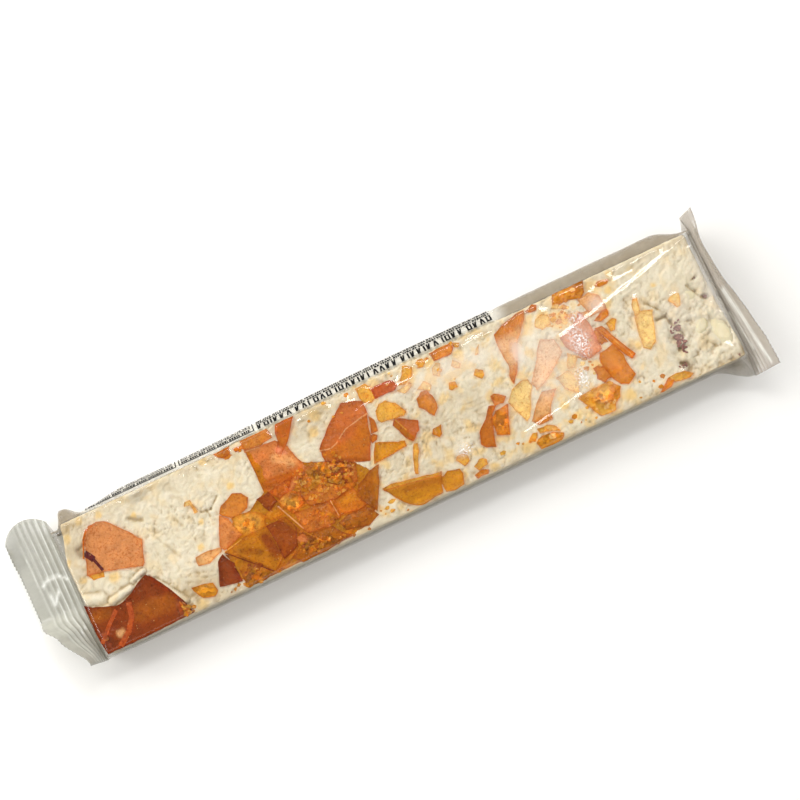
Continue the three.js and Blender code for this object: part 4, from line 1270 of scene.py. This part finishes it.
def build_nuts():
    """Peeled nut pieces that bulge out of the crumbly end."""
    lattice, faces = box_grid(*NUT_GRID)
    ball = lattice / np.array(NUT_GRID) * 2.0 - 1.0
    ball /= np.linalg.norm(ball, axis=1)[:, None]
    parts = []
    for nut in NUTS:
        bumps = 1.0 + 0.09 * fractal(ball[:, 0] + nut.x, ball[:, 1] + ball[:, 2], 0.8, 3, nut.y)
        local = ball * bumps[:, None] * (nut.along, nut.across, nut.up)
        x, y = turned(local[:, 0], local[:, 1], math.radians(nut.turn))
        z = NOUGAT_TOP - NUT_SUNK - nut.up + np.minimum(local[:, 2], NUT_FLAT * nut.up)
        parts.append((np.stack([nut.x + x, nut.y + y, z], 1), [tuple(face) for face in faces]))
    new_piece("nut_pieces", *join(parts), nut_material(), "nut")


def flake_top(x, y):
    """Height of a flake of nut skin at a place on it: just above the nougat, or part way down a pit."""
    return np.maximum(nougat_height(x, y), NOUGAT_TOP - FLAKE_DEEPEST) + FLAKE_LIFT


def build_skins():
    """Broken flakes of brown nut skin lying in the pits of the nougat."""
    draw = np.random.default_rng(SEED + 4)
    parts = []
    for x, y, along, across, count, size in SKIN_PATCHES:
        for _ in range(count):
            middle = np.array([x + along * draw.normal(), y + across * draw.normal()])
            length = size * draw.uniform(0.6, 1.2)
            width = length * draw.uniform(0.35, 0.75)
            angles = np.linspace(0, 2 * math.pi, FLAKE_CORNERS, endpoint=False)
            angles = angles + draw.uniform(-0.4, 0.4, FLAKE_CORNERS)
            spin = draw.uniform(0, math.pi)
            spots = turned(0.5 * length * np.cos(angles), 0.5 * width * np.sin(angles), spin)
            corners = [tuple(corner) for corner in middle + np.stack(spots, 1)]
            parts.append(shard_skin(corners, flake_top, FLAKE_THICK, draw, FLAKE_CUT)[:2])
    new_piece("nut_skin", *join(parts), skin_material(), "nut", smooth=False)


def tuck_share(x):
    """How much the far left corner is tucked in at a place along the bar, from 0 to 1."""
    return smoothstep(-x, 91, 93)


def far_bulge(x):
    """How far the film stands out from the far side: pinched and then eared at the left corner."""
    bulge = mix(FAR_BULGE_LEFT, FAR_BULGE_RIGHT, smoothstep(x, -60, 10))
    bulge = mix(bulge, PINCH_BULGE, smoothstep(-x, 72, 84.5))
    bulge = mix(bulge, EAR_BULGE, smoothstep(-x, 85.5, 90))
    bulge = mix(bulge, 0.0, tuck_share(x))
    return mix(bulge, CORNER_BULGE["right_far"], smoothstep(x, BODY_END - CORNER_REACH, BODY_END))


def near_bulge(x):
    """How far the film stands out from the near side."""
    corner = np.where(x < 0, CORNER_BULGE["left_near"], CORNER_BULGE["right_near"])
    return mix(NEAR_BULGE, corner, smoothstep(np.abs(x), BODY_END - CORNER_REACH, BODY_END))


def side_offset(x, up, far):
    """How far the film's side is out from the nougat's edge, at a share of its height."""
    rounded = FILM_GAP * (1.0 - np.abs(2.0 * up - 1.0) ** 8)
    bulge = far_bulge(x) if far else near_bulge(x)
    tuck = TUCK_DEPTH * tuck_share(x) if far else 0.0
    return rounded + bulge * (1.0 - (2.0 * up - 1.0) ** 2) - tuck


def film_top_sheet(crumbs):
    """The film's top as a taut sheet over nougat, shards and crumbs: places along, across and heights."""
    x = np.linspace(-BODY_END, BODY_END, BODY_STATIONS)
    y = np.linspace(-HALF_WIDTH, HALF_WIDTH, FILM_ACROSS + 1)
    grid_x, grid_y = np.meshgrid(x, y, indexing="ij")
    under = nougat_height(np.clip(grid_x, -HALF_LENGTH, HALF_LENGTH), grid_y)
    for shard in SHARDS:
        covered = inside(grid_x, grid_y, shard.corners)
        under = np.where(covered, np.maximum(under, shard_top(shard, grid_x, grid_y) + SHARD_CLEAR), under)
    for crumb in crumbs:
        covered = np.hypot(grid_x - crumb.x, grid_y - crumb.y) < crumb.size
        under = np.where(covered, np.maximum(under, crumb.top), under)
    edge = np.minimum(HALF_WIDTH - np.abs(grid_y), BODY_END - np.abs(grid_x))
    under = np.minimum(under, NOUGAT_TOP + FILM_HIGHEST) + FILM_CLEAR
    under = under - EDGE_DROP * (1.0 - smoothstep(edge, 0.0, EDGE_REACH)) ** 2
    sheet = under.copy()
    for _ in range(TAUT_ROUNDS):
        mean = sheet.copy()
        mean[1:-1, 1:-1] = 0.25 * (sheet[:-2, 1:-1] + sheet[2:, 1:-1] + sheet[1:-1, :-2] + sheet[1:-1, 2:])
        sheet = np.maximum(under, mean - TAUT_PULL)
    for points, reach, height in CREASES:
        fold = height * np.clip(1.0 - to_path(grid_x, grid_y, points) / reach, 0.0, None)
        sheet = sheet + fold * smoothstep(edge, 0.0, CREASE_FADE)
    return x, y, sheet


def left_lift(across):
    """How steeply the left fin stands up, in radians."""
    bend = LEFT_NEAR_BEND * smoothstep(-across, 0.12, 0.5)
    twist = LEFT_NEAR_TWIST * smoothstep(-across, 0.45, 1.0)
    far_curl = LEFT_FAR_CURL * smoothstep(across, 0.5, 1.0)
    return np.radians(LEFT_SAG + bend + twist + far_curl)


def right_lift(across):
    """How steeply the right fin stands up, in radians."""
    rise = mix(RIGHT_NEAR_LIFT, RIGHT_STEEPEST_LIFT, smoothstep(across, -1.0, STEEPEST_AT))
    return np.radians(mix(rise, RIGHT_FAR_LIFT, smoothstep(across, STEEPEST_AT, 1.0)))


# Each fin: its end of the bar, its reach to the near and far sides, its far lobe, its lift, the colour of its
# haze, how strongly the painted highlights on its ridges show and how much hazier its near half is.
Fin = namedtuple("Fin", "side near far lobe lift colour shine dull")
FINS = [
    Fin(-1, 19.5, 17.2, 7.0, left_lift, (182, 182, 172), 1.0, 0.3),
    Fin(1, 24.5, 23.3, 0.0, right_lift, (186, 177, 165), 0.7, 0.0),
]

# Painted glints on the fins, along bright folds: the reach of each, then its bends.
PAINTED_FIN_GLINTS = [
    (0.45, [(-103.3, 5.8), (-101.5, 7), (-98.4, 6.9), (-96.3, 4.9)]),
    (0.45, [(-102.3, 2.9), (-102.2, 0), (-99.9, 3)]),
    (0.24, [(96.1, 0.4), (97.3, -9), (98.9, -23)]),
    (0.2, [(95.7, -6), (97, -17.6)]),
]


def fin_points(fin, out, across, up):
    """Places on a fin: out from its root, across from -1 to 1, and up from 0 to 1 through it."""
    lift = fin.lift(across)
    begun = smoothstep(out, 0.0, CRIMP_EASE)
    pressed = begun * (1.0 - smoothstep(out, CRIMP_LENGTH - CRIMP_EASE, CRIMP_LENGTH))
    ridge = -0.5 * CRIMP_DEPTH * np.cos(2 * math.pi * out / CRIMP_PITCH) * pressed
    lobe = fin.lobe * np.sqrt(1.0 - ((out - LOBE_MIDDLE) / LOBE_HALF) ** 2)
    y = across * np.where(across < 0, fin.near, fin.far + lobe)
    slack = FIN_SLACK * fractal(out + 40 * fin.side, y, 9.0, 2, 6.0) * smoothstep(out, 0.0, 6.0)
    off = ridge + slack + (up - 0.5) * FIN_THICKNESS
    x = FIN_ROOT + out * np.cos(lift) - off * np.sin(lift)
    z = FIN_ROOT_HEIGHT + out * np.sin(lift) + off * np.cos(lift)
    return np.stack([fin.side * x, y, z], 1)


def long_sides(across):
    """Which places are on the film's far wall, and which are on its near wall."""
    return across > WALL_ACROSS, across < -WALL_ACROSS


def body_points(x, across, up, sheet):
    """Places on the film's body: on its top, its underside or one of its long sides."""
    xs, ys, heights = sheet
    y = across * HALF_WIDTH
    i = np.clip(np.round((x - xs[0]) / (xs[1] - xs[0])).astype(int), 0, len(xs) - 1)
    j = np.clip(np.round((y - ys[0]) / (ys[1] - ys[0])).astype(int), 0, len(ys) - 1)
    z = mix(FILM_BOTTOM, heights[i, j], up)
    crumple = CRUMPLE * fractal(x + 3 * z, z, 5.0, 3, 14.0)
    far_side = HALF_WIDTH + side_offset(x, up, True) + crumple * up * (1 - up) * 4
    near_side = HALF_WIDTH + side_offset(x, up, False) + crumple * up * (1 - up) * 2
    y = np.where(y > 0, y * (1.0 - TUCK_DEPTH / HALF_WIDTH * tuck_share(x)), y)
    far, near = long_sides(across)
    y = np.where(far, far_side, np.where(near, -near_side, y))
    return np.stack([x, y, z], 1)


def fin_painted_highlight(fin, out, across, points):
    """How much painted highlight the ridges and folds of a fin get at each place, from 0 to 1."""
    wave = max(math.cos(2 * math.pi * (out / CRIMP_PITCH - 0.5)), 0.0) * (out < CRIMP_LENGTH)
    crest = wave ** mix(BROAD_CREST, FINE_CREST, smoothstep(across, -0.2, 0.1))
    broken = smoothstep(fractal(np.full(len(across), 2 * out), 20 * across, 6.0, 2, 33.0), -0.4, 0.4)
    shine = crest * mix(0.25, 1.0, broken) * fin.shine * mix(1.0, 0.3, smoothstep(out, 5.0, 8.0))
    for reach, bends in PAINTED_FIN_GLINTS:
        away = to_path(points[:, 0], points[:, 1], bends)
        shine = np.maximum(shine, np.exp(-((away / reach) ** 2)))
    return shine


def body_haze_and_painted_light(spots, across, up):
    """The film's haze and painted light on the body, with their colour: plain top but for listed patches,
    printed far side with painted shade beyond the print, and painted shade on the near side.
    """
    x, y = spots[:, 0], spots[:, 1]
    far, near = long_sides(across)
    plain = np.clip(smoothstep(x, *PLAIN_RIGHT) + smoothstep(-x, *PLAIN_LEFT), 0.0, 1.0)
    # painted shade on the near side and on the far side beyond the print
    haze_and_painted_light = np.where(near, NEAR_PAINTED_SHADE.share, 0.0)
    haze_and_painted_light = np.where(far, mix(PRINT_HAZE.share, FAR_PAINTED_SHADE.share, plain), haze_and_painted_light)
    printed = mix(linear(PRINT_HAZE.colour), linear(FAR_PAINTED_SHADE.colour), plain[:, None])
    colour = np.where(far[:, None], printed, linear(NEAR_PAINTED_SHADE.colour))
    top = (up == 1.0) & ~far & ~near
    # listed patches: haze, painted shade and painted sheen
    for *spot, most, patch_colour in HAZE_SHADE_AND_SHEEN_PATCHES:
        share = most * (1.0 - smoothstep(oval(x, y, *spot), 0.2, 1.0)) * top
        colour = np.where((share > haze_and_painted_light)[:, None], linear(patch_colour), colour)
        haze_and_painted_light = np.maximum(haze_and_painted_light, share)
    return haze_and_painted_light, colour


def film_stations(places):
    """The film's cross sections from left to right: kind, which fin, and how far out or along it is."""
    outs = np.linspace(0.0, FIN_LENGTH, round(FIN_LENGTH / FIN_STEP) + 1)
    tents = np.linspace(0.0, 1.0, TENT_STATIONS + 2)[1:-1]
    left = [("fin", 0, out) for out in outs[::-1]] + [("tent", 0, t) for t in tents[::-1]]
    right = [("tent", 1, t) for t in tents] + [("fin", 1, out) for out in outs]
    return left + [("body", 0, x) for x in places] + right


def build_film(crumbs):
    """The whole clear pack as one closed skin: body, tented ends and crimped fins."""
    sheet = film_top_sheet(crumbs)
    stations = film_stations(sheet[0])
    lattice, faces = box_grid(len(stations) - 1, FILM_ACROSS, FILM_UP)
    across = lattice[:, 1] / FILM_ACROSS * 2.0 - 1.0
    up = lattice[:, 2] / FILM_UP
    points = np.zeros((len(lattice), 3))
    haze_and_painted_light = np.zeros(len(lattice))
    veil = np.zeros((len(lattice), 3))
    counts = np.bincount(lattice[:, 0])
    ends = np.cumsum(counts)
    for (kind, which, value), count, end in zip(stations, counts, ends):
        here = slice(end - count, end)
        a, u = across[here], up[here]
        fin = FINS[which]
        if kind == "fin":
            teeth = TOOTH_DEPTH * (lattice[here, 1] % 2) * (value == FIN_LENGTH)
            points[here] = fin_points(fin, value - teeth, a, u)
            shine = fin_painted_highlight(fin, value, a, points[here])
            dull = fin.dull * smoothstep(-a, -0.1, 0.3)
            # painted highlight: white haze on the crests and along the glints
            haze_and_painted_light[here] = mix(FIN_HAZE + dull, PAINTED_CREST_HIGHLIGHT.share, shine)
            veil[here] = mix(linear(fin.colour), linear(PAINTED_CREST_HIGHLIGHT.colour), shine[:, None])
            continue
        x = value if kind == "body" else fin.side * BODY_END
        spots = body_points(np.full(len(a), x), a, u, sheet)
        haze_and_painted_light[here], veil[here] = body_haze_and_painted_light(spots, a, u)
        if kind == "tent":
            root = fin_points(fin, np.zeros(len(a)), a, u)
            spots = mix(spots, root, smoothstep(value, 0.0, 1.0))
            haze_and_painted_light[here] = mix(haze_and_painted_light[here], FIN_HAZE, value)
            veil[here] = mix(veil[here], linear(fin.colour), value)
        points[here] = spots
    piece = new_piece("film", points, faces, film_material(), "film")
    add_values(piece, "haze_and_painted_light", haze_and_painted_light)
    # veil: colour of the haze and of the painted shade, highlights and sheen
    add_colours(piece, "veil", veil)
    # painted glitter: white grains in the listed patches on top
    away = [oval(points[:, 0], points[:, 1], *glitter_patch) for glitter_patch in PAINTED_GLITTER_PATCHES]
    add_values(piece, "painted_glitter", (1.0 - smoothstep(np.min(away, 0), 0.1, 1.1)) * (up == 1.0))
    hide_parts("sealed_bar")


def wall_point(x, down):
    """A place on the outside of the film's far side, a distance down from its top edge."""
    up = 1.0 - down / NOUGAT_TOP
    y = HALF_WIDTH + side_offset(np.asarray(x, float), up, True) + INK_LIFT + CRUMPLE
    return np.stack([x, y, np.full(np.shape(x), up * NOUGAT_TOP)], -1)


def ink_bar(left, right, top, bottom):
    """A bar of ink that follows the film's far side: its points and faces."""
    columns = max(2, math.ceil((right - left) / INK_STEP_ALONG) + 1)
    rows = max(2, math.ceil((bottom - top) / INK_STEP_DOWN) + 1)
    x = np.linspace(left, right, columns)
    points = np.concatenate([wall_point(x, down) for down in np.linspace(top, bottom, rows)])
    firsts = [r * columns + c for r in range(rows - 1) for c in range(columns - 1)]
    return points, [(a, a + columns, a + columns + 1, a + 1) for a in firsts]


def ink_stroke(start, end, width):
    """A straight slanted stroke of ink; each end is a place along the bar and a distance down."""
    share = np.linspace(0.0, 1.0, STROKE_POINTS)
    x = mix(start[0], end[0], share)
    down = mix(start[1], end[1], share)
    points = np.concatenate([wall_point(x - width / 2, down), wall_point(x + width / 2, down)])
    faces = [(k, k + 1, k + 1 + STROKE_POINTS, k + STROKE_POINTS) for k in range(STROKE_POINTS - 1)]
    return points, faces


def fine_marks(left, right, top, height, draw):
    """A row of short plain dashes, grouped as words are."""
    x = left
    while x < right:
        length = draw.uniform(1.2, 4.5)
        end = min(x + length, right)
        while x < end:
            width = draw.uniform(0.3, 0.7)
            yield ink_bar(x, min(x + width, end), top, top + height)
            x += width + DASH_GAP
        x = end + FINE_WORD_GAP


def title_marks(left, right, top, height, draw):
    """A bold row of plain shapes: bars, open squares, peaks and slanted bars."""
    low = top + height
    x = left
    while x < right:
        for _ in range(draw.integers(3, 8)):
            far = x + TITLE_WIDE
            if far > right:
                return
            shape = draw.integers(4)
            if shape != 2:
                yield ink_bar(x, x + TITLE_STROKE, top, low)
            if shape == 0:
                far = x + TITLE_STROKE
            elif shape == 1:
                yield ink_bar(far - TITLE_STROKE, far, top, low)
                yield ink_bar(x, far, top, top + TITLE_THIN)
                yield ink_bar(x, far, low - TITLE_THIN, low)
            elif shape == 2:
                yield ink_stroke((x + TITLE_STROKE / 2, top), (x + TITLE_WIDE / 2, low), TITLE_STROKE)
                yield ink_stroke((x + TITLE_WIDE / 2, low), (far - TITLE_STROKE / 2, top), TITLE_STROKE)
            else:
                yield ink_stroke((x + TITLE_STROKE, top), (far - TITLE_STROKE, low), TITLE_STROKE)
            x = far + TITLE_GAP
        x += TITLE_WORD_GAP


def outline_box(left, right, top, bottom, line):
    """Four thin bars round an empty box."""
    yield ink_bar(left, right, top, top + line)
    yield ink_bar(left, right, bottom - line, bottom)
    yield ink_bar(left, left + line, top, bottom)
    yield ink_bar(right - line, right, top, bottom)


def build_print():
    """Generic print on the far side: a bold row, fine rows and two outlined boxes of fine rows."""
    draw = np.random.default_rng(SEED + 3)
    parts = list(title_marks(PRINT_TITLE_LEFT, PRINT_RIGHT, *TITLE_ROW, draw))
    for top, height in FINE_ROWS:
        parts += fine_marks(PRINT_TITLE_LEFT, PRINT_RIGHT - draw.uniform(0, 1), top, height, draw)
    for left, right in BOX_EDGES:
        parts += outline_box(left, right, BOX_TOP, BOX_BOTTOM, BOX_LINE)
        for top, height in BOX_ROWS:
            parts += fine_marks(left + BOX_MARGIN, right - BOX_MARGIN, top, height, draw)
    new_piece("print_marks", *join(parts), ink_material(), "print")


def build_floor():
    """A plain pale floor."""
    mesh = bpy.data.meshes.new("floor")
    corners = [(x * FLOOR_HALF, y * FLOOR_HALF, 0) for x, y in ((-1, -1), (1, -1), (1, 1), (-1, 1))]
    mesh.from_pydata(corners, [], [(0, 1, 2, 3)])
    mesh.materials.append(floor_material())
    floor = bpy.data.objects.new("floor", mesh)
    bpy.context.scene.collection.objects.link(floor)


def area_light(name, place, target, width, height, power, colour=(1.0, 1.0, 1.0)):
    """A soft rectangular lamp aimed at a point, in metres and watts."""
    lamp = bpy.data.lights.new(name, "AREA")
    lamp.shape = "RECTANGLE"
    lamp.size = width
    lamp.size_y = height
    lamp.energy = power
    lamp.color = colour
    holder = bpy.data.objects.new(name, lamp)
    holder.location = place
    holder.rotation_euler = (Vector(target) - Vector(place)).to_track_quat("-Z", "Y").to_euler()
    bpy.context.scene.collection.objects.link(holder)
    return holder


def build_sky():
    """A pale sky that is dark overhead, so that the film's flat top mirrors little of it."""
    world = bpy.data.worlds.new("studio")
    world.use_nodes = True
    tree = world.node_tree
    place = tree.nodes.new("ShaderNodeTexCoord")
    split = tree.nodes.new("ShaderNodeSeparateXYZ")
    hood = tree.nodes.new("ShaderNodeValToRGB")
    for element, (height, colour) in zip(hood.color_ramp.elements, SKY):
        element.position = height
        element.color = colour
    sky = tree.nodes["Background"]
    sky.inputs["Strength"].default_value = SKY_STRENGTH
    tree.links.new(place.outputs["Generated"], split.inputs[0])
    tree.links.new(split.outputs["Z"], hood.inputs[0])
    tree.links.new(hood.outputs[0], sky.inputs["Color"])
    bpy.context.scene.world = world


def build_lights():
    """Soft studio light: a broad lamp beyond the bar, unseen in the film, and small ones for shine."""
    build_sky()
    key = area_light("key", (-0.3, 0.55, 0.5), (0, 0, 0), 0.9, 0.7, 5.2, (1.0, 0.97, 0.92))
    key.visible_glossy = False
    area_light("glint", (-0.3, 0.55, 0.6), (0, 0, 0), 0.14, 0.14, 0.35)
    area_light("side", (-0.6, 0.0, 0.5), (0, 0, 0), 0.5, 0.12, 0.8)
    area_light("line", (0.15, 0.27, 0.6), (0.06, 0.01, 0.014), 0.3, 0.08, 0.9)
    area_light("veil", (0.142, 0.057, 0.61), (0.06, 0.005, 0.014), 0.11, 0.06, 0.016)


def build_camera():
    """The photograph's view: the bar's place in the picture, its turn and the height of the eye."""
    turn = math.radians(TURN)
    right = Vector((math.cos(turn), -math.sin(turn), 0.0))
    ahead = Vector((math.sin(turn), math.cos(turn), 0.0))
    tilt = math.radians(ELEVATION)
    toward = ahead * math.cos(tilt) - Vector((0, 0, math.sin(tilt)))
    above = right.cross(toward)
    half = PHOTO_SIZE / 2
    target = Vector((0, 0, NOUGAT_TOP))
    target += right * (half - BAR_MIDDLE_PIXEL[0]) * MM_PER_PIXEL
    target += above * (BAR_MIDDLE_PIXEL[1] - half) * MM_PER_PIXEL
    lens = bpy.data.cameras.new("camera")
    lens.sensor_width = SENSOR
    lens.lens = SENSOR * DISTANCE / (PHOTO_SIZE * MM_PER_PIXEL)
    camera = bpy.data.objects.new("camera", lens)
    camera.location = (target - toward * DISTANCE) * MM
    camera.rotation_euler = toward.to_track_quat("-Z", "Y").to_euler()
    bpy.context.scene.collection.objects.link(camera)
    bpy.context.scene.camera = camera


build_camera()
build_floor()
build_lights()
build_nougat()
build_shards()
crumbs = scatter_crumbs()
build_crumbs(crumbs)
build_nuts()
build_skins()
build_film(crumbs)
build_print()
bpy.context.scene.view_settings.view_transform = "Standard"
